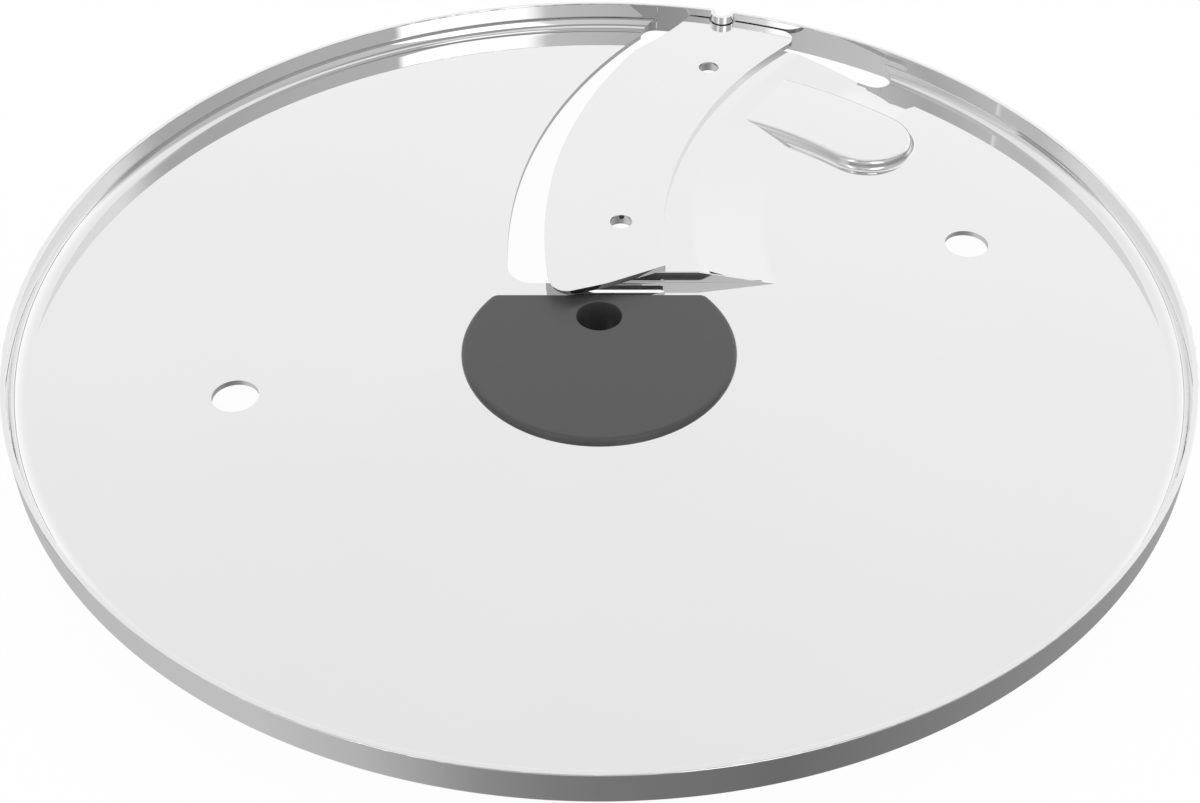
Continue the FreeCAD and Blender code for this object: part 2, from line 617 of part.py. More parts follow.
# The bevel is ground about the centre of the cutting edge's arc.
EDGE_RUN = "(%s - edge_low_x)" % flare_x
EDGE_RISE = "(%s - edge_low_y)" % flare_y
EDGE_CHORD = "sqrt(%s * %s + %s * %s)" % (EDGE_RUN, EDGE_RUN, EDGE_RISE, EDGE_RISE)
CENTRE_AWAY = "sqrt(edge_radius * edge_radius - %s * %s / 4)" % (EDGE_CHORD, EDGE_CHORD)
centre_x = "edge_low_x + %s / 2 + %s * %s / %s" % (EDGE_RUN, EDGE_RISE, CENTRE_AWAY, EDGE_CHORD)
centre_y = "edge_low_y + %s / 2 - %s * %s / %s" % (EDGE_RISE, EDGE_RUN, CENTRE_AWAY, EDGE_CHORD)
bevel = upright_sketch(blade, "BevelProfile", centre_x, centre_y)
BEVEL_RISE = "(blade_thickness - bevel_land) / bevel_width"
outline(bevel, [
    ("edge_radius - bevel_width", "pad_height"),
    ("edge_radius - bevel_width", "pad_height - blade_thickness"),
    ("edge_radius + bevel_width", "pad_height - blade_thickness"),
    ("edge_radius + bevel_width", "pad_height + 2 * bevel_width * %s" % BEVEL_RISE),
])
blade.Tip = turned(blade, "GroundBevel", "PartDesign::Groove", bevel)

# Hub plate on the floor, and the drive hub under it.

ROUND_DROP = "(plate_chord - plate_corner - plate_shift)"


def d_outline(sketch, radius, chord):
    """A circle with one straight side and two rounded corners."""
    reach = "(%s - plate_corner)" % radius
    across = "sqrt(%s * %s - %s * %s)" % (reach, reach, ROUND_DROP, ROUND_DROP)
    corner_x = "%s * %s / %s" % (across, radius, reach)
    corner_y = "plate_shift + %s * %s / %s" % (ROUND_DROP, radius, reach)
    outline(sketch, [
        (across, chord),
        ("-1 * " + across, chord, "plate_corner", LEFT),
        ("-1 * " + corner_x, corner_y, radius, LEFT),
        (ZERO, "plate_shift - " + radius, radius, LEFT),
        (corner_x, corner_y, "plate_corner", LEFT),
    ])


plate = doc.addObject("PartDesign::Body", "hub_plate")
plate_sketch = flat_sketch(plate, "PlateOutline")
d_outline(plate_sketch, "plate_radius", "plate_chord")
plate_pad = pad(plate, "PlateBlank", plate_sketch, "plate_thickness")
top = number_of("plate_thickness")
chamfered(plate, "PlateEdge", plate_pad, "plate_edge", lambda edge: lies_at(edge, top))
plate_bore = flat_sketch(plate, "PlateBore", "2 * plate_thickness")
ring(plate_bore, "bore", ZERO, ZERO, "bore_radius")
bored = pocket(plate, "PlateBoreCut", plate_bore, "3 * plate_thickness")
bore_size = number_of("bore_radius")
plate.Tip = chamfered(
    plate, "BoreLead", bored, "bore_lead",
    lambda edge: lies_at(edge, top) and edge.BoundBox.XMax < bore_size + 0.1)

hub = doc.addObject("PartDesign::Body", "drive_hub")
flange_sketch = flat_sketch(hub, "FlangeOutline", "-sheet - flange_thickness")
d_outline(flange_sketch, "flange_radius", "plate_chord")
pad(hub, "Flange", flange_sketch, "flange_thickness")
barrel_sketch = flat_sketch(hub, "BarrelOutline", "-sheet - hub_height")
d_outline(barrel_sketch, "barrel_radius", "plate_chord")
barrel = pad(hub, "Barrel", barrel_sketch, "hub_height")
foot_level = number_of("-sheet - hub_height")
chamfered(hub, "BarrelChamfer", barrel, "hub_edge", lambda edge: lies_at(edge, foot_level))
spigot_sketch = flat_sketch(hub, "SpigotOutline", "-2 * sheet")
ring(spigot_sketch, "spigot", ZERO, ZERO, "spigot_radius")
pad(hub, "Spigot", spigot_sketch, "2 * sheet")
hub_bore = flat_sketch(hub, "HubBore", "sheet")
ring(hub_bore, "bore", ZERO, ZERO, "bore_radius")
pocket(hub, "HubBoreCut", hub_bore, "2 * hub_height")
key = flat_sketch(hub, "KeyOutline", "-sheet - hub_height + key_depth")
outline(key, [
    ("-1 * plate_radius", "key_width / 2"),
    ("-1 * plate_radius", "-key_width / 2"),
    ("plate_radius", "-key_width / 2"),
    ("plate_radius", "key_width / 2"),
])
hub.Tip = pocket(hub, "KeySlot", key, "2 * key_depth")

NODES = [disc_pan, blade, plate, hub]
doc.recompute()

for item in doc.Objects:
    if "Invalid" in item.State or "Error" in item.State:
        raise RuntimeError("%s was not built: %s" % (item.Label, item.State))
for node in NODES:
    if node.Shape.isNull() or not node.Shape.isValid():
        raise RuntimeError("%s has no valid shape" % node.Label)
    if len(node.Shape.Solids) != 1:
        raise RuntimeError("%s has %d solids" % (node.Label, len(node.Shape.Solids)))
for node in NODES:
    node.Shape.exportStep("parts/%s.step" % node.Label)
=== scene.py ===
import math

import bmesh
import bpy
import numpy as np
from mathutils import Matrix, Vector
from mathutils.geometry import delaunay_2d_cdt


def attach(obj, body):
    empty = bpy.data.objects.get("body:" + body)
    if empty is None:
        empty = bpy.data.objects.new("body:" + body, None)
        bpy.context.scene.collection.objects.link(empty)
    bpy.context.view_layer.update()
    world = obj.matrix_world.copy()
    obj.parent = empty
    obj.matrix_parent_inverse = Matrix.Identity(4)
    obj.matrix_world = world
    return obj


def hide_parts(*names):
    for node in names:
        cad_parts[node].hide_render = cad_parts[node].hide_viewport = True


# Slicing disc. Lengths in this file are millimetres, as on a drawing, and meshes are
# written in metres. The origin lies on the disc's axis, in the floor's top face.

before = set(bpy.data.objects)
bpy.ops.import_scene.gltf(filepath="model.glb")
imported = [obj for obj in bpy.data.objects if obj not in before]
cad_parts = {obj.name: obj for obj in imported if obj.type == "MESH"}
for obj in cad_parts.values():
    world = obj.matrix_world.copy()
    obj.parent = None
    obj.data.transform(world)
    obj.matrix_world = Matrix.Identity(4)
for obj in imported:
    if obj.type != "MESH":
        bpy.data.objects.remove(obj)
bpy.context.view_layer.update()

bl_info = {
    "name": "Slicing disc",
    "version": (1, 0, 0),
    "blender": (4, 5, 0),
    "location": "View3D > Sidebar > Disc",
    "description": "Polished slicing disc with its blade, hub and a plain studio",
    "category": "Object",
}

MM = 0.001

# Pan, in millimetres.
SHEET = 1.0
RIM_OUT = 102.5
RIM_IN = 101.5
RIM_TOP = 5.2
RIM_BEND = 2.4
BASE_BEND = 0.55
DEBURR = 0.2
FLOOR_EDGE = RIM_IN - RIM_BEND
NEAR_HOLE = (-61.7, -20.3)
FAR_HOLE = (68.6, 22.3)
DRIVE_HOLE = 4.0
HUB_HOLE = 6.1

# Tongue: its ramp and its seat's edge are turned about the centre of the cutting edge.
EDGE_CENTRE = np.array([108.88, 22.74])
EDGE_RADIUS = 119.05
RAMP_FOOT = 78.0
RAMP_CREST = 91.6
RAMP_RUN = RAMP_CREST - RAMP_FOOT
PAD_HEIGHT = 2.45
RAMP_ANGLE = math.atan(PAD_HEIGHT / RAMP_RUN)
BEND = 6.0
STEP_LINE = 10.3
STEP_FOOT_SPREAD = 0.001
STEP_ANGLE = math.radians(88.0)
STEP_WIDTH = 0.5
STEP_DROP = EDGE_CENTRE[1] - STEP_LINE
STEP_START = EDGE_CENTRE[0] - math.sqrt(RAMP_FOOT**2 - STEP_DROP**2)
STEP_LENGTH = STEP_START - EDGE_CENTRE[0] + math.sqrt(RAMP_CREST**2 - STEP_DROP**2)
TONGUE_END = 95.0
TONGUE_TIP = (17.98, 93.28)
TONGUE_HEEL = -5.44
FORM_END = -7.0
UNDERSIDE_INSET = 0.5
# Its lines in the mesh: how far the ramp's stop short of the slot, and where the step's end.
RAMP_MARGIN = 1.5
STEP_LINES_END = -6.5

# Stiffening pill.
PILL_HEADING = math.radians(46.3)
PILL_SWEEP = math.radians(26.0)
PILL_RADIUS = 76.9
PILL_HALF = 10.3
PILL_HEIGHT = 1.88
PILL_SIDE = 2.0
PILL_ANGLE = math.radians(76.0)

# Crescent opening and its two slots, along the rim and beside the hub.
MOUTH_RADIUS = 117.64
MOUTH_LOW = (-16.85, 15.5)
MOUTH_CROWN = (9.0, 97.15)
MOUTH_TURN = (-8.0, 10.5)
MOUTH_CORNER = (-11.85, 10.5)
MOUTH_ROUND = 5.0
SLOT_FLOOR = 99.0
SLOT_START = math.radians(82.85)
SLOT_END = math.radians(53.9)
SLOT_MIDDLE = (RIM_IN + TONGUE_END) / 2
SLOT_HALF = (RIM_IN - TONGUE_END) / 2
SLOT_SPARE = 0.005
HUB_SLOT = (7.7, 9.8)
HUB_SLOT_START = -1.0
HUB_SLOT_END = 10.95
HUB_SLOT_MIDDLE = (HUB_SLOT[1] + HUB_SLOT[0]) / 2
HUB_SLOT_HALF = (HUB_SLOT[1] - HUB_SLOT[0]) / 2

# Rim dimple.
DIMPLE_HEADING = math.radians(74.85)
DIMPLE_CENTRE = 101.4
DIMPLE_RADIUS = 2.45
GROOVE_CENTRE = 101.46
GROOVE_RADIUS = 1.65
GROOVE_LIP = 1.0

# Blade.
BLADE_THICK = 1.0
BLADE_OUT = 101.2
EDGE_OVERHANG = 4.0
BEVEL_WIDTH = 3.5
EDGE_LAND = 0.12
BLADE_HOLES = ((22.8, 78.5), (4.06, 24.65))
BLADE_HOLE = 2.05
EDGE_LOW = (-9.3, 8.4)
FLARE_START = (7.66, 85.4)
FLARE_RADIUS = 66.0
FLARE_END = math.radians(78.9)
NOTCH_HALF = math.radians(1.55)
NOTCH_RADIUS = 2.75
NOTCH_FLOOR = 98.65
BACK_START = math.radians(67.39)
BACK_ROUND = 3.5
BACK_HIGH = (40.09, 87.68)
BACK_RADIUS = 99.88
BACK_LOW = (12.0, 11.3)
HEEL_BEND = (1.6, 6.25)
TIP_START = (-5.0, 4.0)
TIP_RADIUS = 3.0
TIP_END = (-8.7, 6.2)
TIP_BLEND = 8.0

# Hub.
PLATE_RADIUS = 24.0
PLATE_SHIFT = -8.3
PLATE_CHORD = 6.4
PLATE_CORNER = 2.0
PLATE_THICK = 1.0
PLATE_EDGE = 0.92
BORE = 4.0
BORE_LEAD = 0.25

# Fineness of the meshes: spacing along lines, sides of circles, steps of quarter rounds.
SPACING = 0.5
FINE_SPACING = 0.4
ARC_TURN = 0.08
HOLE_SIDES = 96
SMALL_HOLE_SIDES = 64
BEVEL_SIDES = 720
BEND_STEPS = 13
BASE_STEPS = 7
DEBURR_STEPS = 4
EDGE_STEPS = 7
LEAD_STEPS = 5
LIP_STEPS = 10
DIMPLE_STEPS = 41
RAMP_POINTS = 90
STEP_LINES = 7
STEP_SHARES = (0.02, 0.3, 0.65, 1.0)
PILL_BEND_LINES = 8
PILL_WEB_LINES = 14
PILL_CAP_POINTS = 45
PILL_SPACING = 0.8
HALVINGS = 40

# Limits, in millimetres: points that touch, points on a surface, and a slope's short step.
WELD = 0.002
FINE_WELD = 0.0005
ON_SURFACE = 0.03
SLOPE_STEP = 0.004
JUST_UNDER = 0.0001
PLAN_LIMIT = 1e-7
TINY = 1e-9
# Limits without a unit: the step's least share of its size, a corner's least lean.
LEAST_SHARE = 1e-6
LEAST_LEAN = 0.5
# How far a face's normal leans: level, floor, upright, square to the wall, part of a bend.
LEVEL_LEAN = 0.99999
FLOOR_LEAN = 0.25
UPRIGHT_LEAN = 0.1
SQUARE_LEAN = 0.98
BEND_LEAN = 0.02
# Creases that stay sharp, in degrees.
PLATE_CREASE = 12
BODY_CREASE = 30

LEFT = 1
RIGHT = -1


def polar(radius, heading):
    """The point at a distance from the axis in a direction."""
    return radius * math.cos(heading), radius * math.sin(heading)


def bend_size(width, height, angle):
    """Radius of the two equal bends that join a web of this slope to two levels."""
    rise = width * math.sin(angle) - height * math.cos(angle)
    return rise / 2 / (1 - math.cos(angle))


def sloping_side(way, width, height, angle):
    """Height of a bent side at a distance way from its foot."""
    bend = bend_size(width, height, angle)
    reach = bend * math.sin(angle)
    way = np.clip(way, 0, width)
    foot = bend - np.sqrt(np.maximum(bend**2 - np.minimum(way, reach) ** 2, 0))
    back = width - way
    head = height - bend + np.sqrt(np.maximum(bend**2 - np.minimum(back, reach) ** 2, 0))
    web = bend * (1 - math.cos(angle)) + (way - reach) * math.tan(angle)
    return np.where(way < reach, foot, np.where(back < reach, head, web))


def ramp_height(along):
    """Height of the ramp at a distance from its bend line."""
    flat = BEND * math.tan(RAMP_ANGLE / 2)
    turn = flat * math.cos(RAMP_ANGLE)
    low = BEND - np.sqrt(BEND**2 - np.clip(along + flat, 0, flat + turn) ** 2)
    back = np.clip(RAMP_RUN + flat - along, 0, flat + turn)
    high = PAD_HEIGHT - BEND + np.sqrt(BEND**2 - back**2)
    slope = along * math.tan(RAMP_ANGLE)
    return np.where(along < turn, low, np.where(along > RAMP_RUN - turn, high, slope))


def tongue_height(x, y, inset):
    """Height of ramp, seat and side step over the floor, which stays level past the slots."""
    share = np.clip((STEP_START - x) / STEP_LENGTH, LEAST_SHARE, 1)
    foot = STEP_LINE + inset + share * STEP_FOOT_SPREAD * STEP_LENGTH
    way = (y - foot) / share
    reach = np.hypot(x - EDGE_CENTRE[0], y - EDGE_CENTRE[1])
    step = share * sloping_side(way, STEP_WIDTH, PAD_HEIGHT, STEP_ANGLE)
    formed = (y > HUB_SLOT_MIDDLE) & (np.hypot(x, y) < (SLOT_FLOOR + TONGUE_END) / 2)
    formed &= (x > FORM_END) & (reach < EDGE_RADIUS)
    height = np.where(way < STEP_WIDTH, step, ramp_height(reach - RAMP_FOOT))
    return np.where(formed, height, 0)


def pill_height(x, y, inset):
    """Height of the stiffening pill over the floor."""
    heading = np.arctan2(y, x)
    cx, cy = polar(PILL_RADIUS, PILL_HEADING)
    off_line = np.where(heading >= PILL_HEADING, np.abs(np.hypot(x, y) - PILL_RADIUS),
                        np.hypot(x - cx, y - cy))
    way = PILL_HALF - inset - off_line
    height = sloping_side(way, PILL_SIDE, PILL_HEIGHT, PILL_ANGLE)
    return np.where((way > 0) & (heading < PILL_HEADING + PILL_SWEEP), height, 0)


def top_height(x, y):
    """Height of the sheet's top."""
    return np.maximum(tongue_height(x, y, 0), pill_height(x, y, 0))


def under_height(x, y):
    """Height of the sheet's underside, whose forms are set in to keep the sheet even."""
    inset = UNDERSIDE_INSET
    return np.maximum(tongue_height(x, y, inset), pill_height(x, y, inset)) - SHEET


def arc_points(start, end, radius, side, step):
    """Points of the shorter arc from start to end, the end left out."""
    start, end = np.array(start, float), np.array(end, float)
    way = end - start
    half = np.hypot(way[0], way[1]) / 2
    across = np.array([-way[1], way[0]]) / (2 * half)
    centre = (start + end) / 2 + across * side * math.sqrt(max(radius**2 - half**2, 0))
    first = math.atan2(start[1] - centre[1], start[0] - centre[0])
    last = math.atan2(end[1] - centre[1], end[0] - centre[0])
    turn = side * ((side * (last - first)) % (2 * math.pi))
    count = max(3, math.ceil(abs(turn) * radius / step), math.ceil(abs(turn) / ARC_TURN))
    angles = first + turn * np.arange(count) / count
    return centre + radius * np.column_stack([np.cos(angles), np.sin(angles)])


def outline(corners, step=SPACING):
    """Points of a closed outline. A corner is (x, y) or (x, y, radius, side) for an arc."""
    rows = []
    for index, corner in enumerate(corners):
        following = corners[(index + 1) % len(corners)][:2]
        if len(corner) == 2:
            rows.append(np.array([corner], float))
        else:
            rows.append(arc_points(corner[:2], following, corner[2], corner[3], step))
    return np.vstack(rows)


def quarter(steps):
    """Angles of a quarter turn."""
    return np.linspace(0, math.pi / 2, steps)


def circle(radius, count, centre=(0, 0)):
    turn = 2 * math.pi * np.arange(count) / count
    return np.array(centre) + radius * np.column_stack([np.cos(turn), np.sin(turn)])


def inside(points, loop):
    """Which points lie inside a closed loop."""
    hit = np.zeros(len(points), bool)
    x, y = points[:, 0], points[:, 1]
    for (ax, ay), (bx, by) in zip(loop, np.roll(loop, -1, axis=0)):
        if ay != by:
            crosses = (ay > y) != (by > y)
            hit ^= crosses & (x < (bx - ax) * (y - ay) / (by - ay) + ax)
    return hit


class Plan:
    """A flat layout of loops and lines that is filled with triangles."""

    def __init__(self):
        self.points = []
        self.edges = []
        self.loops = []

    def line(self, points):
        first = len(self.points)
        self.points += [Vector((float(x), float(y))) for x, y in points]
        self.edges += [(n, n + 1) for n in range(first, len(self.points) - 1)]

    def loop(self, points):
        first = len(self.points)
        self.line(points)
        self.edges.append((len(self.points) - 1, first))
        self.loops.append(np.array(points, float))

    def filled(self):
        """Points and triangles of what lies inside the first loop and outside the others."""
        found = delaunay_2d_cdt(self.points, self.edges, [], 0, PLAN_LIMIT)
        points = np.array([tuple(p) for p in found[0]])
        faces = np.array([f for f in found[2] if len(f) == 3])
        middles = points[faces].mean(axis=1)
        keep = inside(middles, self.loops[0])
        for hole in self.loops[1:]:
            keep &= ~inside(middles, hole)
        return points, faces[keep]


def border(faces):
    """Edges that only one of the triangles has, in that triangle's order."""
    sides = np.vstack([faces[:, [0, 1]], faces[:, [1, 2]], faces[:, [2, 0]]])
    known = {tuple(side) for side in sides.tolist()}
    return [side for side in sides.tolist() if (side[1], side[0]) not in known]


def mesh_from(name, points, faces):
    mesh = bpy.data.meshes.new(name)
    mesh.from_pydata((np.asarray(points) * MM).tolist(), [], faces)
    mesh.update()
    return mesh


def object_from(name, mesh):
    piece = bpy.data.objects.new(name, mesh)
    bpy.context.scene.collection.objects.link(piece)
    return piece


def welded(mesh, reach=WELD):
    """Merges points that touch and turns every face outwards."""
    shell = bmesh.new()
    shell.from_mesh(mesh)
    bmesh.ops.remove_doubles(shell, verts=shell.verts, dist=reach * MM)
    bmesh.ops.dissolve_degenerate(shell, edges=shell.edges, dist=reach * MM / 10)
    bmesh.ops.recalc_face_normals(shell, faces=shell.faces)
    shell.to_mesh(mesh)
    shell.free()


def settle(piece):
    """Makes the piece's modifiers part of its mesh."""
    graph = bpy.context.evaluated_depsgraph_get()
    mesh = bpy.data.meshes.new_from_object(piece.evaluated_get(graph))
    piece.modifiers.clear()
    piece.data = mesh
    return mesh


def prism(name, loop, low, high):
    """A closed block over a loop of points."""
    count = len(loop)
    points = [(x, y, low) for x, y in loop] + [(x, y, high) for x, y in loop]
    faces = [list(range(count))[::-1], list(range(count, 2 * count))]
    faces += [(n, (n + 1) % count, count + (n + 1) % count, count + n) for n in range(count)]
    piece = object_from(name, mesh_from(name, points, faces))
    welded(piece.data)
    return piece


def combine(piece, tool, operation):
    """Joins a tool to a piece or cuts it away, and removes the tool."""
    step = piece.modifiers.new(operation.title(), "BOOLEAN")
    step.object = tool
    step.operation = operation
    step.solver = "EXACT"
    settle(piece)
    bpy.data.objects.remove(tool)


def numbers(rows, name, width=3, kind=np.float32):
    """One property of all the rows of a mesh, as an array."""
    values = np.zeros(len(rows) * width, kind)
    rows.foreach_get(name, values)
    return values.reshape(-1, width) if width > 1 else values


def smooth(mesh, angle, exact=None):
    """Smooth shading up to an angle; level faces stay level, and exact may set more normals."""
    mesh.shade_smooth()
    mesh.set_sharp_from_angle(angle=math.radians(angle))
    normals = numbers(mesh.corner_normals, "vector")
    sizes = numbers(mesh.polygons, "loop_total", 1, np.int32)
    owner = np.repeat(np.arange(len(sizes)), sizes)
    facing = numbers(mesh.polygons, "normal")[owner]
    level = np.abs(facing[:, 2]) > LEVEL_LEAN
    normals[level] = facing[level]
    if exact:
        corners = numbers(mesh.loops, "vertex_index", 1, np.int32)
        points = numbers(mesh.vertices, "co")[corners].astype(float) / MM
        middles = numbers(mesh.polygons, "center")[owner].astype(float) / MM
        exact(normals, points, middles, facing)
    mesh.normals_split_custom_set(normals.tolist())


def relief_slope(height, x, y):
    """Upward normal of a relief given by its height."""
    near = SLOPE_STEP
    dx = (height(x + near, y) - height(x - near, y)) / (2 * near)
    dy = (height(x, y + near) - height(x, y - near)) / (2 * near)
    up = np.column_stack([-dx, -dy, np.ones_like(dx)])
    return up / np.linalg.norm(up, axis=1)[:, None]


def pan_normals(normals, at, middle, facing):
    """Exact normals for the pan's relief, walls and bends."""
    inward = middle - at
    inward /= np.maximum(np.linalg.norm(inward, axis=1)[:, None], TINY)
    seen = at + ON_SURFACE * inward
    reach = np.hypot(middle[:, 0], middle[:, 1])
    radius = np.maximum(np.hypot(at[:, 0], at[:, 1]), TINY)
    out = np.column_stack([at[:, 0] / radius, at[:, 1] / radius, np.zeros(len(at))])
    floor = reach < FLOOR_EDGE
    for way, height in ((1, top_height), (-1, under_height)):
        on = floor & (way * facing[:, 2] > FLOOR_LEAN)
        on &= np.abs(at[:, 2] - height(at[:, 0], at[:, 1])) < ON_SURFACE
        normals[on] = way * relief_slope(height, seen[on, 0], seen[on, 1])
    upright = np.abs(facing[:, 2]) < UPRIGHT_LEAN
    lean = np.sum(facing * out, axis=1)
    for wall, way in ((RIM_IN, -1), (RIM_OUT, 1)):
        on = upright & (np.abs(reach - wall) < ON_SURFACE) & (way * lean > SQUARE_LEAN)
        normals[on] = way * out[on]
    for bend, centre_r, centre_z, way in (
            (RIM_BEND, FLOOR_EDGE, RIM_BEND, -1),
            (BASE_BEND, RIM_OUT - BASE_BEND, BASE_BEND - SHEET, 1)):
        off = np.hypot(reach - centre_r, middle[:, 2] - centre_z)
        on = (np.abs(off - bend) < ON_SURFACE) & (reach > centre_r)
        on &= (middle[:, 2] < centre_z) & (np.abs(lean) > BEND_LEAN)
        part = way * (radius[on] - centre_r)[:, None] * out[on] / bend
        part[:, 2] = way * (at[on, 2] - centre_z) / bend
        normals[on] = part / np.linalg.norm(part, axis=1)[:, None]


def ramp_lines(plan):
    """Draws the ramp's bends as arcs round the centre of the cutting edge."""
    flat = BEND * math.tan(RAMP_ANGLE / 2)
    turn = flat * math.cos(RAMP_ANGLE)
    reach = math.hypot(*EDGE_CENTRE)
    towards = math.atan2(*-EDGE_CENTRE[::-1]) % (2 * math.pi)
    for way in (-flat, 0, turn, RAMP_RUN / 2, RAMP_RUN - turn, RAMP_RUN, RAMP_RUN + flat):
        radius = RAMP_FOOT + way
        drop = STEP_DROP - max(way, 0) / RAMP_RUN * STEP_WIDTH
        first = math.pi + math.asin(drop / radius)
        wide = (reach**2 + radius**2 - (SLOT_FLOOR - RAMP_MARGIN) ** 2) / (2 * reach * radius)
        turns = np.linspace(first, towards - math.acos(wide), RAMP_POINTS)
        plan.line(EDGE_CENTRE + radius * np.column_stack([np.cos(turns), np.sin(turns)]))


def step_lines(plan):
    """Draws the two bends of the side step, which narrows to nothing at the ramp's foot."""
    bend = bend_size(STEP_WIDTH, PAD_HEIGHT, STEP_ANGLE) * math.sin(STEP_ANGLE)
    ways = np.concatenate([np.linspace(0, bend, STEP_LINES),
                           np.linspace(STEP_WIDTH - bend, STEP_WIDTH, STEP_LINES)])
    for way in ways:
        row = []
        for share in STEP_SHARES:
            x = STEP_START - share * STEP_LENGTH
            row.append((x, STEP_LINE + share * (STEP_FOOT_SPREAD * STEP_LENGTH + way)))
        row.append((STEP_LINES_END, row[-1][1]))
        plan.line(row)


def pill_end(radius, level):
    """Heading at which the ramp, on a circle round the axis, reaches a level of the pill."""
    low, high = PILL_HEADING, PILL_HEADING + PILL_SWEEP
    for _ in range(HALVINGS):
        heading = (low + high) / 2
        x, y = polar(radius, heading)
        if float(tongue_height(np.array(x), np.array(y), 0)) < level:
            low = heading
        else:
            high = heading
    return low


def pill_lines(plan):
    """Draws the pill's bends and web from the ramp, round its cap and back to the ramp."""
    bend = bend_size(PILL_SIDE, PILL_HEIGHT, PILL_ANGLE) * math.sin(PILL_ANGLE)
    head = PILL_SIDE - bend
    ways = np.concatenate([np.linspace(0, bend, PILL_BEND_LINES),
                           np.linspace(bend, head, PILL_WEB_LINES)[1:-1],
                           np.linspace(head, PILL_SIDE, PILL_BEND_LINES)])
    middle = np.array(polar(PILL_RADIUS, PILL_HEADING))
    radial = middle / PILL_RADIUS
    aside = np.array([radial[1], -radial[0]])
    ends = {LEFT: [], RIGHT: []}
    for way in ways:
        half = PILL_HALF - way
        level = float(sloping_side(way, PILL_SIDE, PILL_HEIGHT, PILL_ANGLE)) - JUST_UNDER
        sides = {}
        for side in (LEFT, RIGHT):
            radius = PILL_RADIUS + side * half
            last = pill_end(radius, level)
            count = max(3, int((last - PILL_HEADING) * PILL_RADIUS / PILL_SPACING))
            turns = np.linspace(last, PILL_HEADING, count)
            sides[side] = [polar(radius, heading) for heading in turns]
            ends[side].append(sides[side][0])
        turns = np.linspace(0, math.pi, PILL_CAP_POINTS)[1:-1]
        cap = [middle - half * math.cos(a) * radial + half * math.sin(a) * aside for a in turns]
        plan.line(sides[RIGHT] + [tuple(p) for p in cap] + sides[LEFT][::-1])
    plan.line(ends[RIGHT] + ends[LEFT][::-1])


def slot_end(heading, radius, side, half=SLOT_HALF):
    """Where the round end of the rim slot crosses a circle round the axis."""
    turn = math.acos((SLOT_MIDDLE**2 + radius**2 - half**2) / (2 * SLOT_MIDDLE * radius))
    return polar(radius, heading + side * turn)


MOUTH = [
    MOUTH_LOW + (MOUTH_RADIUS, RIGHT),
    MOUTH_CROWN + (SLOT_HALF, RIGHT),
    slot_end(SLOT_START, SLOT_FLOOR, LEFT) + (SLOT_FLOOR, RIGHT),
    slot_end(SLOT_END, SLOT_FLOOR, RIGHT) + (SLOT_HALF, RIGHT),
    polar(TONGUE_END, SLOT_END) + (TONGUE_END, LEFT),
    TONGUE_TIP + (EDGE_RADIUS - EDGE_OVERHANG, LEFT),
    (TONGUE_HEEL, HUB_SLOT[1]),
    (HUB_SLOT_END, HUB_SLOT[1], HUB_SLOT_HALF, RIGHT),
    (HUB_SLOT_END + HUB_SLOT_HALF, HUB_SLOT_MIDDLE, HUB_SLOT_HALF, RIGHT),
    (HUB_SLOT_END, HUB_SLOT[0]),
    (HUB_SLOT_START, HUB_SLOT[0]),
    MOUTH_TURN,
    MOUTH_CORNER + (MOUTH_ROUND, RIGHT),
]
BLADE = [
    EDGE_LOW + (EDGE_RADIUS, RIGHT),
    FLARE_START + (FLARE_RADIUS, LEFT),
    polar(BLADE_OUT, FLARE_END) + (BLADE_OUT, RIGHT),
    polar(BLADE_OUT, DIMPLE_HEADING + NOTCH_HALF) + (NOTCH_RADIUS, LEFT),
    polar(NOTCH_FLOOR, DIMPLE_HEADING) + (NOTCH_RADIUS, LEFT),
    polar(BLADE_OUT, DIMPLE_HEADING - NOTCH_HALF) + (BLADE_OUT, RIGHT),
    polar(BLADE_OUT, BACK_START) + (BACK_ROUND, RIGHT),
    BACK_HIGH + (BACK_RADIUS, LEFT),
    BACK_LOW,
    HEEL_BEND,
    TIP_START + (TIP_RADIUS, RIGHT),
    TIP_END + (TIP_BLEND, RIGHT),
]


def add_sockets(tree, in_out, kinds):
    """Gives a group its inputs or outputs, each with its kind."""
    for label, kind in kinds.items():
        tree.interface.new_socket(label, in_out=in_out, socket_type="NodeSocket" + kind)


def rim_tree():
    """Geometry nodes that sweep a section round the disc's axis."""
    tree = bpy.data.node_groups.new("Rim sweep", "GeometryNodeTree")
    add_sockets(tree, "INPUT", {"Section": "Object", "Radius": "Float", "Segments": "Int",
                                "Finish": "Material"})
    add_sockets(tree, "OUTPUT", {"Rim": "Geometry"})
    nodes, join = tree.nodes, tree.links.new
    entry = nodes.new("NodeGroupInput")
    path = nodes.new("GeometryNodeCurvePrimitiveCircle")
    section = nodes.new("GeometryNodeObjectInfo")
    sweep = nodes.new("GeometryNodeCurveToMesh")
    real = nodes.new("GeometryNodeRealizeInstances")
    finish = nodes.new("GeometryNodeSetMaterial")
    result = nodes.new("NodeGroupOutput")
    join(entry.outputs["Section"], section.inputs["Object"])
    join(entry.outputs["Radius"], path.inputs["Radius"])
    join(entry.outputs["Segments"], path.inputs["Resolution"])
    join(path.outputs["Curve"], sweep.inputs["Curve"])
    join(section.outputs["Geometry"], sweep.inputs["Profile Curve"])
    join(sweep.outputs["Mesh"], real.inputs["Geometry"])
    join(real.outputs["Geometry"], finish.inputs["Geometry"])
    join(entry.outputs["Finish"], finish.inputs["Material"])
    join(finish.outputs["Geometry"], result.inputs["Rim"])
    return tree


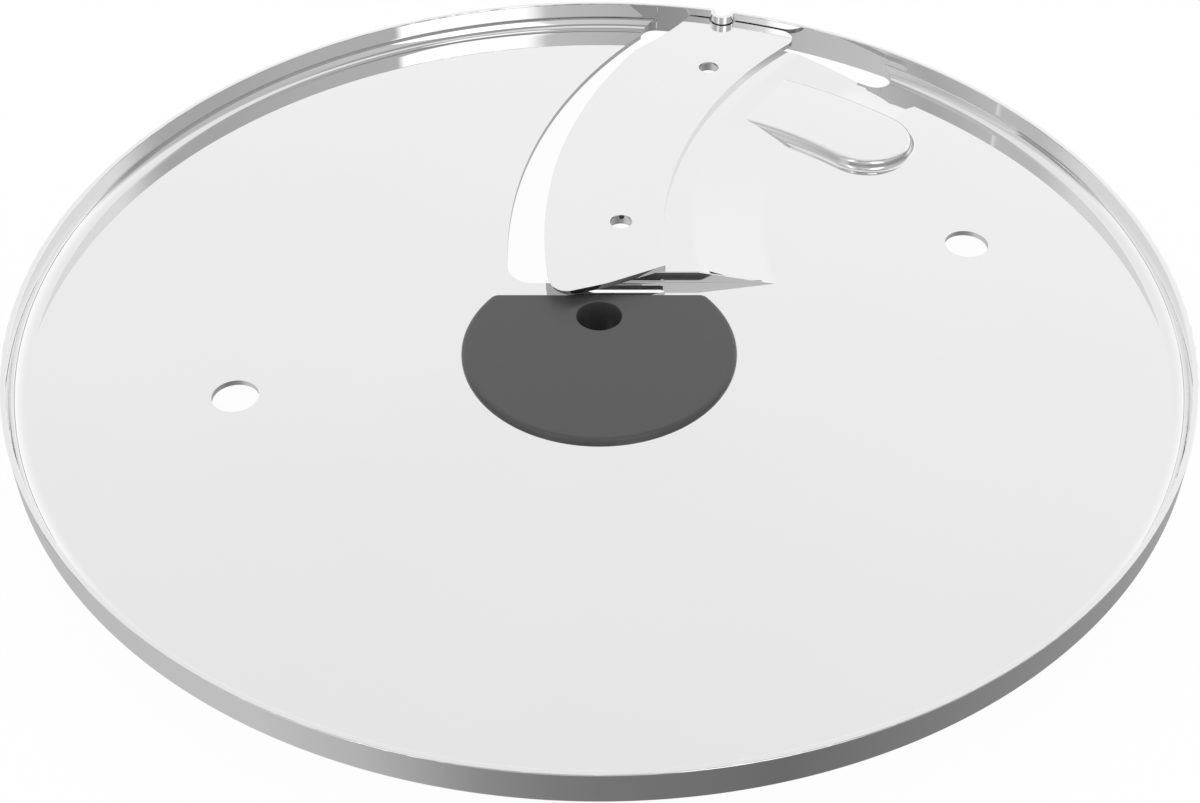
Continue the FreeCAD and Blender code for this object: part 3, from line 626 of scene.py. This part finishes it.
def rim_section():
    """The rim's section: distance outwards from the floor's edge, and height."""
    points = []
    wall_in, wall_out = RIM_IN - FLOOR_EDGE, RIM_OUT - FLOOR_EDGE
    for turn in quarter(BEND_STEPS):
        points.append((RIM_BEND * math.sin(turn), RIM_BEND * (1 - math.cos(turn))))
    for turn in quarter(DEBURR_STEPS):
        points.append((wall_in + DEBURR * (1 - math.cos(turn)),
                       RIM_TOP - DEBURR + DEBURR * math.sin(turn)))
    for turn in quarter(DEBURR_STEPS):
        points.append((wall_out - DEBURR * (1 - math.sin(turn)),
                       RIM_TOP - DEBURR + DEBURR * math.cos(turn)))
    for turn in quarter(BASE_STEPS):
        points.append((wall_out - BASE_BEND * (1 - math.cos(turn)),
                       BASE_BEND - SHEET - BASE_BEND * math.sin(turn)))
    points.append((0, -SHEET))
    return points


def rim_mesh(segments, finish):
    """The rim ring, swept by geometry nodes and turned into a plain mesh."""
    curve = bpy.data.curves.new("RimSection", "CURVE")
    curve.dimensions = "3D"
    line = curve.splines.new("POLY")
    section = rim_section()
    line.points.add(len(section) - 1)
    for point, (out, up) in zip(line.points, section):
        point.co = (out * MM, -up * MM, 0, 1)
    helper = object_from("RimSection", curve)
    ring = object_from("Rim", bpy.data.meshes.new("Rim"))
    tree = rim_tree()
    step = ring.modifiers.new("Sweep", "NODES")
    step.node_group = tree
    values = {"Section": helper, "Radius": FLOOR_EDGE * MM, "Segments": segments,
              "Finish": finish}
    for socket in tree.interface.items_tree:
        if socket.in_out == "INPUT":
            step[socket.identifier] = values[socket.name]
    mesh = settle(ring)
    bpy.data.objects.remove(ring)
    bpy.data.objects.remove(helper)
    return mesh


def turned_to(heading, points):
    """Points given along and across a heading, turned into the disc's own axes."""
    c, s = math.cos(heading), math.sin(heading)
    points = np.asarray(points)
    return np.column_stack([points[:, 0] * c - points[:, 1] * s,
                            points[:, 0] * s + points[:, 1] * c])


def pan_mesh(segments, finish):
    """Floor with its relief and openings, joined to the rim, as one closed sheet."""
    plan = Plan()
    plan.loop(circle(FLOOR_EDGE, segments))
    plan.loop(outline(MOUTH))
    plan.loop(circle(DRIVE_HOLE, HOLE_SIDES, NEAR_HOLE))
    plan.loop(circle(DRIVE_HOLE, HOLE_SIDES, FAR_HOLE))
    plan.loop(circle(HUB_HOLE, HOLE_SIDES))
    for hole in BLADE_HOLES:
        plan.loop(circle(BLADE_HOLE, SMALL_HOLE_SIDES, hole))
    ramp_lines(plan)
    step_lines(plan)
    pill_lines(plan)
    points, faces = plan.filled()
    x, y = points[:, 0], points[:, 1]
    count = len(points)
    upper = np.column_stack([x, y, top_height(x, y)])
    lower = np.column_stack([x, y, under_height(x, y)])
    quads = [(b, a, a + count, b + count) for a, b in border(faces)
             if min(np.hypot(*points[a]), np.hypot(*points[b])) < FLOOR_EDGE - ON_SURFACE]
    under = faces[:, ::-1] + count
    ring = rim_mesh(segments, finish)
    first = 2 * count
    ring_points = np.array([tuple(v.co / MM) for v in ring.vertices])
    ring_faces = [[first + n for n in face.vertices] for face in ring.polygons]
    bpy.data.meshes.remove(ring)
    mesh = mesh_from("Pan", np.vstack([upper, lower, ring_points]),
                     faces.tolist() + under.tolist() + quads + ring_faces)
    welded(mesh)
    return mesh


def slot_block():
    """What the slot takes out of the rim's bend, up to the rim's upright wall."""
    wall, half = RIM_IN + SLOT_SPARE, SLOT_HALF + SLOT_SPARE
    loop = outline([
        slot_end(SLOT_START, SLOT_MIDDLE, LEFT, half) + (half, RIGHT),
        polar(wall, SLOT_START) + (wall, RIGHT),
        polar(wall, SLOT_END) + (half, RIGHT),
        slot_end(SLOT_END, SLOT_MIDDLE, RIGHT, half) + (SLOT_MIDDLE, LEFT),
    ])
    return prism("RimSlot", loop, -3 * SHEET, RIM_TOP - 2 * DEBURR)


def dimple_blocks():
    """The dimple's half-round body and the groove behind it."""
    half = np.linspace(math.pi / 2, 3 * math.pi / 2, DIMPLE_STEPS)
    bump = [(RIM_OUT - SHEET / 2, -DIMPLE_RADIUS), (RIM_OUT - SHEET / 2, DIMPLE_RADIUS)]
    bump += [(DIMPLE_CENTRE + DIMPLE_RADIUS * math.cos(a), DIMPLE_RADIUS * math.sin(a))
             for a in half]
    mouth = GROOVE_RADIUS + GROOVE_LIP
    lip = quarter(LIP_STEPS)
    groove = [(RIM_OUT + SHEET, -mouth)]
    groove += [(GROOVE_CENTRE + GROOVE_LIP * math.cos(a), -mouth + GROOVE_LIP * math.sin(a))
               for a in lip]
    groove += [(GROOVE_CENTRE + GROOVE_RADIUS * math.cos(a), GROOVE_RADIUS * math.sin(a))
               for a in half[::-1][1:-1]]
    groove += [(GROOVE_CENTRE + GROOVE_LIP * math.cos(a), mouth - GROOVE_LIP * math.sin(a))
               for a in lip[::-1]]
    groove += [(RIM_OUT + SHEET, mouth)]
    return (prism("DimpleBody", turned_to(DIMPLE_HEADING, bump), -SHEET, RIM_TOP),
            prism("DimpleGroove", turned_to(DIMPLE_HEADING, groove), -3 * SHEET, 2 * RIM_TOP))


def inset_loop(loop, by):
    """A loop moved inwards; loops run anticlockwise here."""
    ahead = np.roll(loop, -1, axis=0) - loop
    ahead /= np.linalg.norm(ahead, axis=1)[:, None]
    behind = np.roll(ahead, 1, axis=0)
    left = np.column_stack([-(ahead + behind)[:, 1], (ahead + behind)[:, 0]])
    left /= np.linalg.norm(left, axis=1)[:, None]
    lean = np.sum(left * np.column_stack([-ahead[:, 1], ahead[:, 0]]), axis=1)
    return loop + left * by / np.maximum(lean, LEAST_LEAN)[:, None]


def plate_mesh(name, loop, holes, low, high, edge, lead):
    """A plate over an anticlockwise loop; edge rounds its top, lead rounds its holes' top."""
    rows, hole_rows = [(0, low)], [(0, low)]
    for turn in quarter(EDGE_STEPS):
        rows.append((edge * (1 - math.cos(turn)), high - edge + edge * math.sin(turn)))
    for turn in quarter(LEAD_STEPS):
        hole_rows.append((lead * (1 - math.cos(turn)), high - lead + lead * math.sin(turn)))
    points, faces = [], []

    def wall(rings, outer):
        for ring, (_, level) in rings:
            first = len(points)
            points.extend((x, y, level) for x, y in ring)
            if ring is rings[0][0]:
                continue
            size = len(ring)
            for n in range(size):
                after = (n + 1) % size
                face = [first - size + n, first - size + after, first + after, first + n]
                faces.append(face if outer else face[::-1])

    wall([(inset_loop(loop, row[0]), row) for row in rows], True)
    for centre, radius, count in holes:
        wall([(circle(radius + row[0], count, centre), row) for row in hole_rows], False)
    for level, grow_in, grow_out, way in ((high, edge, lead, 1), (low, 0, 0, -1)):
        plan = Plan()
        plan.loop(inset_loop(loop, grow_in))
        for centre, radius, count in holes:
            plan.loop(circle(radius + grow_out, count, centre))
        flat, triangles = plan.filled()
        first = len(points)
        points.extend((x, y, level) for x, y in flat)
        faces.extend((triangles[:, ::way] + first).tolist())
    mesh = mesh_from(name, points, faces)
    welded(mesh, FINE_WELD)
    return mesh


def plate_outline():
    """The hub plate's outline: a circle with one straight side and two rounded corners."""
    reach = PLATE_RADIUS - PLATE_CORNER
    drop = PLATE_CHORD - PLATE_CORNER - PLATE_SHIFT
    across = math.sqrt(reach**2 - drop**2)
    corner_x = across * PLATE_RADIUS / reach
    corner_y = PLATE_SHIFT + drop * PLATE_RADIUS / reach
    return outline([
        (across, PLATE_CHORD),
        (-across, PLATE_CHORD, PLATE_CORNER, LEFT),
        (-corner_x, corner_y, PLATE_RADIUS, LEFT),
        (0, PLATE_SHIFT - PLATE_RADIUS, PLATE_RADIUS, LEFT),
        (corner_x, corner_y, PLATE_CORNER, LEFT),
    ], FINE_SPACING)


def bevel_ring():
    """The wedge that grinds the bevel under the cutting edge, turned about its centre."""
    rise = (BLADE_THICK - EDGE_LAND) / BEVEL_WIDTH
    low, high = EDGE_RADIUS - BEVEL_WIDTH, EDGE_RADIUS + BEVEL_WIDTH
    section = [(low, PAD_HEIGHT), (low, PAD_HEIGHT - BLADE_THICK),
               (high, PAD_HEIGHT - BLADE_THICK), (high, PAD_HEIGHT + 2 * BEVEL_WIDTH * rise)]
    count, rows = BEVEL_SIDES, len(section)
    points, faces = [], []
    for radius, level in section:
        points += [(x, y, level) for x, y in circle(radius, count, EDGE_CENTRE)]
    for row in range(rows):
        other = (row + 1) % rows
        for n in range(count):
            after = (n + 1) % count
            faces.append((row * count + n, row * count + after,
                          other * count + after, other * count + n))
    ring = object_from("BevelRing", mesh_from("BevelRing", points, faces))
    welded(ring.data)
    return ring


# Finishes. A group gives only colours, masks and values, and the shader stays in the material.
DRIFT_SCALE = 18.0
DRIFT_DETAIL = 2.0
WIPE_SCALE = 240.0
WIPE_DETAIL = 4.0
MOTTLE_SCALE = 2200.0
GRAIN_SCALE = 2600.0
GRAIN_DETAIL = 2.0
NOISE_RANGE = (0.3, 0.7)
HAZE_RANGE = (0.6, 1.0)
STEEL_TONES = (1.0, 0.97)
PLASTIC_TONES = (1.04, 0.96)
PLASTIC_ROUGHNESS = (0.3, 0.38)
GRAIN_STRENGTH = 0.1
GRAIN_HEIGHT = 0.01
TABLE_COLOUR = (0.9, 0.9, 0.9, 1)
# Sockets of a mix by its kind: share, first, second and result.
MIX_SOCKETS = {"FLOAT": (0, 2, 3, 0), "RGBA": (0, 6, 7, 2)}


def link_or_set(tree, socket, value):
    """Feeds a socket from another one, or with a plain value."""
    if isinstance(value, bpy.types.NodeSocket):
        tree.links.new(value, socket)
    else:
        socket.default_value = value


def calculated(tree, operation, *values):
    """One step of arithmetic on values or sockets."""
    node = tree.nodes.new("ShaderNodeMath")
    node.operation = operation
    for socket, value in zip(node.inputs, values):
        link_or_set(tree, socket, value)
    return node.outputs["Value"]


def ranged(tree, value, low, high, to_low=0.0, to_high=1.0):
    """A value carried smoothly from one range to another."""
    node = tree.nodes.new("ShaderNodeMapRange")
    node.interpolation_type = "SMOOTHSTEP"
    for name, entry in (("Value", value), ("From Min", low), ("From Max", high),
                        ("To Min", to_low), ("To Max", to_high)):
        link_or_set(tree, node.inputs[name], entry)
    return node.outputs["Result"]


def band(tree, value, low, high, soft):
    """A mask that is one between low and high and fades over soft."""
    rise = ranged(tree, value, low - soft / 2, low + soft / 2)
    fall = ranged(tree, value, high - soft / 2, high + soft / 2, 1.0, 0.0)
    return calculated(tree, "MULTIPLY", rise, fall)


def noise(tree, place, scale, detail):
    node = tree.nodes.new("ShaderNodeTexNoise")
    node.inputs["Scale"].default_value = scale
    node.inputs["Detail"].default_value = detail
    tree.links.new(place, node.inputs["Vector"])
    return node.outputs["Fac"]


def mixed(tree, kind, share, first, second):
    """Two values or two colours blended by a share."""
    node = tree.nodes.new("ShaderNodeMix")
    node.data_type = kind
    *entries, result = MIX_SOCKETS[kind]
    for entry, value in zip(entries, (share, first, second)):
        link_or_set(tree, node.inputs[entry], value)
    return node.outputs[result]


def mixed_shaders(tree, share, first, second):
    """Two shaders blended by a share."""
    node = tree.nodes.new("ShaderNodeMixShader")
    for entry, value in zip(node.inputs, (share, first, second)):
        tree.links.new(value, entry)
    return node.outputs["Shader"]


def shader_group(name, inputs, outputs):
    """A new group, with what enters it and what it gives."""
    tree = bpy.data.node_groups.new(name, "ShaderNodeTree")
    add_sockets(tree, "INPUT", inputs)
    add_sockets(tree, "OUTPUT", outputs)
    entry = tree.nodes.new("NodeGroupInput").outputs
    return tree, entry, tree.nodes.new("NodeGroupOutput").inputs


def polish_group():
    """Polish haze of steel: a slow drift of tone and fine, uneven smoothness."""
    tree, entry, result = shader_group(
        "Polish haze", {"Place": "Vector", "Bright": "Color", "Dull": "Color", "Haze": "Float"},
        {"Color": "Color", "Roughness": "Float"})
    drift = noise(tree, entry["Place"], DRIFT_SCALE, DRIFT_DETAIL)
    colour = mixed(tree, "RGBA", drift, entry["Bright"], entry["Dull"])
    tree.links.new(colour, result["Color"])
    wiped = noise(tree, entry["Place"], WIPE_SCALE, WIPE_DETAIL)
    share = ranged(tree, wiped, *NOISE_RANGE, *HAZE_RANGE)
    tree.links.new(calculated(tree, "MULTIPLY", share, entry["Haze"]), result["Roughness"])
    return tree


def moulding_group():
    """Moulded plastic: a fine mottle of tone, smoothness and height."""
    tree, entry, result = shader_group(
        "Moulded mottle", {"Place": "Vector", "Light": "Color", "Dark": "Color"},
        {"Color": "Color", "Roughness": "Float", "Height": "Float"})
    mottle = noise(tree, entry["Place"], MOTTLE_SCALE, GRAIN_DETAIL)
    colour = mixed(tree, "RGBA", mottle, entry["Light"], entry["Dark"])
    roughness = ranged(tree, mottle, *NOISE_RANGE, *PLASTIC_ROUGHNESS)
    grain = noise(tree, entry["Place"], GRAIN_SCALE, GRAIN_DETAIL)
    for label, value in (("Color", colour), ("Roughness", roughness), ("Height", grain)):
        tree.links.new(value, result[label])
    return tree


def surface(name, group, values):
    """A material whose shader takes its colour and smoothness from a shared group."""
    material = bpy.data.materials.new(name)
    material.use_nodes = True
    tree = material.node_tree
    shader = tree.nodes["Principled BSDF"]
    place = tree.nodes.new("ShaderNodeTexCoord").outputs["Object"]
    effect = tree.nodes.new("ShaderNodeGroup")
    effect.node_tree = group
    tree.links.new(place, effect.inputs["Place"])
    for label, value in values.items():
        effect.inputs[label].default_value = value
    tree.links.new(effect.outputs["Color"], shader.inputs["Base Color"])
    tree.links.new(effect.outputs["Roughness"], shader.inputs["Roughness"])
    return material, tree, shader, effect


def tone(colour, share):
    """A colour made lighter or darker."""
    return (colour[0] * share, colour[1] * share, colour[2] * share, 1.0)


def steel(name, group, colour, haze):
    """Polished steel."""
    bright, dull = STEEL_TONES
    values = {"Bright": tone(colour, bright), "Dull": tone(colour, dull), "Haze": haze}
    material, _, shader, _ = surface(name, group, values)
    shader.inputs["Metallic"].default_value = 1.0
    return material


def plastic(name, group, colour):
    """Moulded plastic with a fine grain."""
    light, dark = PLASTIC_TONES
    values = {"Light": tone(colour, light), "Dark": tone(colour, dark)}
    material, tree, shader, effect = surface(name, group, values)
    bump = tree.nodes.new("ShaderNodeBump")
    bump.inputs["Strength"].default_value = GRAIN_STRENGTH
    bump.inputs["Distance"].default_value = GRAIN_HEIGHT * MM
    tree.links.new(effect.outputs["Height"], bump.inputs["Height"])
    tree.links.new(bump.outputs["Normal"], shader.inputs["Normal"])
    return material


class DiscSizes(bpy.types.PropertyGroup):
    """Sizes of the finished pieces."""
    segments: bpy.props.IntProperty(
        name="Rim segments", description="Sides of the circle that the rim is turned on",
        default=720, min=96, max=1440)
    edge_break: bpy.props.FloatProperty(
        name="Blade edge break", description="Rounding of the blade's upper edges",
        default=0.00008, min=0.00002, max=0.0003, unit="LENGTH")
    plate_round: bpy.props.FloatProperty(
        name="Plate rounding", description="Rounding of the hub plate's upper edge",
        default=PLATE_EDGE * MM, min=0.0001, max=0.00095, unit="LENGTH")
    bore_lead: bpy.props.FloatProperty(
        name="Bore lead", description="Rounding of the spindle bore's upper edge",
        default=BORE_LEAD * MM, min=0.00005, max=0.0008, unit="LENGTH")


class DiscFinishes(bpy.types.PropertyGroup):
    """Colours and polish of steel and plastic."""
    steel_colour: bpy.props.FloatVectorProperty(
        name="Steel", description="Colour of the polished steel", subtype="COLOR",
        default=(0.8, 0.8, 0.8), min=0, max=1)
    pan_haze: bpy.props.FloatProperty(
        name="Pan haze", description="Roughness of the pan's polish", subtype="FACTOR",
        default=0.03, min=0, max=1)
    blade_haze: bpy.props.FloatProperty(
        name="Blade haze", description="Roughness of the blade's polish", subtype="FACTOR",
        default=0.04, min=0, max=1)
    plastic_colour: bpy.props.FloatVectorProperty(
        name="Hub plastic", description="Colour of the hub and its plate", subtype="COLOR",
        default=(0.068, 0.068, 0.07), min=0, max=1)


class StudioLevels(bpy.types.PropertyGroup):
    """Brightness of the studio's walls, ground and ceiling."""
    room: bpy.props.FloatProperty(
        name="Room", description="Level of the light that falls on matt surfaces",
        default=0.95, min=0, max=3)
    back: bpy.props.FloatProperty(
        name="Back wall", description="Level of the wall that the pan's floor mirrors",
        default=1.04, min=0, max=3)
    wall: bpy.props.FloatProperty(
        name="Wall and softboxes", description="Level of what stands round the disc in mirrors",
        default=1.0, min=0, max=3)
    ground: bpy.props.FloatProperty(
        name="Ground", description="Level of what lies below the disc in mirrors",
        default=1.0, min=0, max=3)
    ceiling: bpy.props.FloatProperty(
        name="Ceiling", description="Level of the ceiling in mirrors",
        default=1.0, min=0, max=3)
    gap: bpy.props.FloatProperty(
        name="Gaps", description="Level of the dark gaps over and under the walls in mirrors",
        default=0.38, min=0, max=3)
    table: bpy.props.FloatProperty(
        name="Table", description="Share of plain white in the table's look",
        subtype="FACTOR", default=0.97, min=0, max=1)


def finish_named(context, name):
    """The finish of that name, made when it is first asked for."""
    if name in bpy.data.materials:
        return bpy.data.materials[name]
    looks = context.scene.disc_finishes
    if name == "Hub plastic":
        return plastic(name, moulding_group(), looks.plastic_colour)
    group = bpy.data.node_groups.get("Polish haze") or polish_group()
    haze = looks.pan_haze if name == "Pan steel" else looks.blade_haze
    return steel(name, group, looks.steel_colour, haze)


def put_in_place(piece, node, material):
    """Gives a piece its finish and its body, and hides the CAD node that it stands in for."""
    piece.data.materials.clear()
    piece.data.materials.append(material)
    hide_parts(node)
    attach(piece, "root")


class DISC_OT_pan(bpy.types.Operator):
    """Forms the pan with its rim, relief, openings and dimple"""
    bl_idname = "disc.pan"
    bl_label = "Form the pan"

    def execute(self, context):
        material = finish_named(context, "Pan steel")
        mesh = pan_mesh(context.scene.disc_sizes.segments, material)
        piece = object_from("pan_polished", mesh)
        combine(piece, slot_block(), "DIFFERENCE")
        body, groove = dimple_blocks()
        combine(piece, body, "UNION")
        combine(piece, groove, "DIFFERENCE")
        smooth(piece.data, BODY_CREASE, pan_normals)
        put_in_place(piece, "disc_pan", material)
        return {"FINISHED"}


class DISC_OT_blade(bpy.types.Operator):
    """Cuts the blade and grinds its bevel"""
    bl_idname = "disc.blade"
    bl_label = "Grind the blade"

    def execute(self, context):
        edge = context.scene.disc_sizes.edge_break / MM
        holes = [(hole, BLADE_HOLE, SMALL_HOLE_SIDES) for hole in BLADE_HOLES]
        mesh = plate_mesh("Blade", outline(BLADE)[::-1], holes, PAD_HEIGHT,
                          PAD_HEIGHT + BLADE_THICK, edge, edge)
        piece = object_from("blade_polished", mesh)
        combine(piece, bevel_ring(), "DIFFERENCE")
        smooth(piece.data, PLATE_CREASE)
        put_in_place(piece, "slicing_blade",
                     finish_named(context, "Blade steel"))
        return {"FINISHED"}


class DISC_OT_hub_plate(bpy.types.Operator):
    """Moulds the hub's plate with its rounded edge"""
    bl_idname = "disc.hub_plate"
    bl_label = "Mould the hub plate"

    def execute(self, context):
        values = context.scene.disc_sizes
        bore = ((0, 0), BORE, HOLE_SIDES)
        mesh = plate_mesh("HubPlate", plate_outline(), [bore], 0, PLATE_THICK,
                          values.plate_round / MM, values.bore_lead / MM)
        smooth(mesh, PLATE_CREASE)
        piece = object_from("hub_plate_moulded", mesh)
        put_in_place(piece, "hub_plate", finish_named(context, "Hub plastic"))
        return {"FINISHED"}


class DISC_OT_drive_hub(bpy.types.Operator):
    """Finishes the drive hub under the pan"""
    bl_idname = "disc.drive_hub"
    bl_label = "Finish the drive hub"

    def execute(self, context):
        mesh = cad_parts["drive_hub"].data.copy()
        welded(mesh)
        smooth(mesh, BODY_CREASE)
        piece = object_from("drive_hub_moulded", mesh)
        put_in_place(piece, "drive_hub", finish_named(context, "Hub plastic"))
        return {"FINISHED"}


# Stage: a table just under the hub's foot, and a camera, in millimetres.
FOOT_LEVEL = -13.02
TABLE_REACH = 12000.0
CAMERA_PLACE = (0.14, -251.4, 207.08)
CAMERA_AIM = (0.14, -21.68, 0.0)
CAMERA_LENS = 54.918
CAMERA_SENSOR = 36.0
CAMERA_NEAR = 10.0

# Where the parts of the mirrored room meet, as elevations in degrees.
GROUND_EDGE = (-14, -18)
FAR_EDGE = (-46, -36)
WALL_BAND = (17, 63)
WALL_SOFT = 4
CEILING_EDGE = (80, 86)
# Headings as shares of a turn: walls without a gap, and the back wall's middle and ends.
CLOSED_EDGE = (55 / 360, 35 / 360)
BACK_MIDDLE = 0.25
BACK_EDGE = (100 / 360, 118 / 360)
# The back wall's fall for each degree upwards, its level at the horizon, its rise to the right.
BACK_FALL = -0.0045
BACK_LIFT = 0.19
BACK_RISE = 0.05

# Tones of the room round the disc: heading in degrees, level. Softboxes are the steps to 1.6,
# and a thin seam brightens the wall at the half turn.
WALL_TONES = ((-180, 0.75), (-163, 0.59), (-142, 0.8), (-134, 1.05), (-132.5, 1.6), (-127, 1.6),
              (-125.5, 1.1), (-110, 0.59), (-90, 0.73), (-79, 0.8), (-75, 1.6), (-47.5, 1.6),
              (-46.5, 0.66), (-28, 0.65), (-5, 0.59), (178.6, 0.749), (180, 1.08))
GROUND_TONES = ((-180, 0.64), (-162, 0.64), (-138, 0.54), (-114, 0.31), (-99, 0.24), (-90, 0.22),
                (-52, 0.18), (180, 0.64))
FAR_TONES = ((-180, 0.66), (-163, 0.655), (-150, 0.645), (-134, 0.6), (-120, 0.45), (-104, 0.34),
             (-90, 0.3), (-52, 0.25), (0, 0.4), (180, 0.66))


def toned(tree, turn, tones):
    """A level that follows the heading, straight from each tone to the next."""
    ramp = tree.nodes.new("ShaderNodeValToRGB")
    steps = ramp.color_ramp.elements
    steps.remove(steps[1])
    for n, (heading, level) in enumerate(tones):
        step = steps.new((heading + 180) / 360) if n else steps[0]
        step.color = (level, level, level, 1)
    tree.links.new(turn, ramp.inputs["Fac"])
    return ramp.outputs["Color"]


def add_table(levels):
    """A plain pale table that keeps the disc's soft shadow and is clear from below."""
    reach = TABLE_REACH
    table = object_from("Table", mesh_from("Table", [
        (-reach, -reach, FOOT_LEVEL), (reach, -reach, FOOT_LEVEL),
        (reach, reach, FOOT_LEVEL), (-reach, reach, FOOT_LEVEL)], [(0, 1, 2, 3)]))
    material = bpy.data.materials.new("Table white")
    material.use_nodes = True
    tree = material.node_tree
    tree.nodes.remove(tree.nodes["Principled BSDF"])
    seen = tree.nodes.new("ShaderNodeLightPath").outputs["Is Camera Ray"]
    below = tree.nodes.new("ShaderNodeNewGeometry").outputs["Backfacing"]
    matt = tree.nodes.new("ShaderNodeBsdfDiffuse")
    matt.inputs["Color"].default_value = TABLE_COLOUR
    glow = tree.nodes.new("ShaderNodeEmission").outputs["Emission"]
    clear = tree.nodes.new("ShaderNodeBsdfTransparent").outputs["BSDF"]
    share = calculated(tree, "MULTIPLY", seen, levels.table)
    upper = mixed_shaders(tree, share, matt.outputs["BSDF"], glow)
    sided = mixed_shaders(tree, below, upper, clear)
    tree.links.new(sided, tree.nodes["Material Output"].inputs["Surface"])
    table.data.materials.append(material)
    table.visible_glossy = False


def add_room(levels):
    """The room: white to the eye, even light on matt faces, walls and softboxes in mirrors."""
    world = bpy.data.worlds.new("Studio room")
    bpy.context.scene.world = world
    world.use_nodes = True
    tree = world.node_tree
    way = tree.nodes.new("ShaderNodeTexCoord").outputs["Generated"]
    split = tree.nodes.new("ShaderNodeSeparateXYZ")
    tree.links.new(way, split.inputs["Vector"])
    x, _, z = split.outputs
    height = calculated(tree, "MULTIPLY", calculated(tree, "ARCSINE", z), 180 / math.pi)
    turn = tree.nodes.new("ShaderNodeTexGradient")
    turn.gradient_type = "RADIAL"
    tree.links.new(way, turn.inputs["Vector"])
    turn = turn.outputs["Fac"]
    wall = calculated(tree, "MULTIPLY", toned(tree, turn, WALL_TONES), levels.wall)
    ground = mixed(tree, "FLOAT", ranged(tree, height, *FAR_EDGE),
                   toned(tree, turn, GROUND_TONES), toned(tree, turn, FAR_TONES))
    ground = calculated(tree, "MULTIPLY", ground, levels.ground)
    lit = band(tree, height, *WALL_BAND, WALL_SOFT)
    lit = calculated(tree, "MAXIMUM", lit, ranged(tree, turn, *CLOSED_EDGE))
    front = mixed(tree, "FLOAT", lit, levels.gap, wall)
    front = mixed(tree, "FLOAT", ranged(tree, height, *CEILING_EDGE), front, levels.ceiling)
    fade = calculated(tree, "MULTIPLY_ADD", height, BACK_FALL, levels.back + BACK_LIFT)
    back = calculated(tree, "MULTIPLY_ADD", x, BACK_RISE, fade)
    aside = calculated(tree, "ABSOLUTE", calculated(tree, "SUBTRACT", turn, BACK_MIDDLE))
    aside = calculated(tree, "MINIMUM", aside, calculated(tree, "SUBTRACT", 1.0, aside))
    mirrored = mixed(tree, "FLOAT", ranged(tree, aside, *BACK_EDGE), front, back)
    mirrored = mixed(tree, "FLOAT", ranged(tree, height, *GROUND_EDGE), mirrored, ground)
    path = tree.nodes.new("ShaderNodeLightPath").outputs
    level = mixed(tree, "FLOAT", path["Is Glossy Ray"], levels.room, mirrored)
    level = calculated(tree, "MAXIMUM", level, path["Is Camera Ray"])
    shine = tree.nodes["Background"]
    shine.inputs["Color"].default_value = (1, 1, 1, 1)
    tree.links.new(level, shine.inputs["Strength"])


def add_camera():
    """The camera of the picture's own view."""
    lens = bpy.data.cameras.new("Camera")
    lens.lens = CAMERA_LENS
    lens.sensor_width = CAMERA_SENSOR
    lens.sensor_fit = "HORIZONTAL"
    lens.clip_start = CAMERA_NEAR * MM
    camera = bpy.data.objects.new("Camera", lens)
    bpy.context.scene.collection.objects.link(camera)
    camera.location = Vector(CAMERA_PLACE) * MM
    aim = Vector(CAMERA_AIM) * MM - camera.location
    camera.rotation_euler = aim.to_track_quat("-Z", "Y").to_euler()
    bpy.context.scene.camera = camera


class DISC_OT_stage(bpy.types.Operator):
    """Sets the table, the room's light and the camera"""
    bl_idname = "disc.stage"
    bl_label = "Set the stage"

    def execute(self, context):
        levels = context.scene.studio_levels
        add_table(levels)
        add_room(levels)
        add_camera()
        context.scene.view_settings.view_transform = "Standard"
        return {"FINISHED"}


class DISC_PT_sidebar(bpy.types.Panel):
    """Lists the disc's pieces, sizes and finishes"""
    bl_label = "Slicing disc"
    bl_idname = "DISC_PT_sidebar"
    bl_space_type = "VIEW_3D"
    bl_region_type = "UI"
    bl_category = "Disc"

    def draw(self, context):
        layout = self.layout
        for group in (context.scene.disc_sizes, context.scene.disc_finishes,
                      context.scene.studio_levels):
            box = layout.box()
            for name in group.__annotations__:
                box.prop(group, name)
        for operator in OPERATORS:
            layout.operator(operator.bl_idname)


OPERATORS = (DISC_OT_pan, DISC_OT_blade, DISC_OT_hub_plate, DISC_OT_drive_hub, DISC_OT_stage)
GROUPS = (DiscSizes, DiscFinishes, StudioLevels)


def register():
    for item in GROUPS + OPERATORS + (DISC_PT_sidebar,):
        bpy.utils.register_class(item)
    bpy.types.Scene.disc_sizes = bpy.props.PointerProperty(type=DiscSizes)
    bpy.types.Scene.disc_finishes = bpy.props.PointerProperty(type=DiscFinishes)
    bpy.types.Scene.studio_levels = bpy.props.PointerProperty(type=StudioLevels)


def unregister():
    del bpy.types.Scene.studio_levels
    del bpy.types.Scene.disc_finishes
    del bpy.types.Scene.disc_sizes
    for item in reversed(GROUPS + OPERATORS + (DISC_PT_sidebar,)):
        bpy.utils.unregister_class(item)


def main():
    register()
    bpy.ops.disc.pan()
    bpy.ops.disc.blade()
    bpy.ops.disc.hub_plate()
    bpy.ops.disc.drive_hub()
    bpy.ops.disc.stage()


if __name__ == "__main__":
    main()
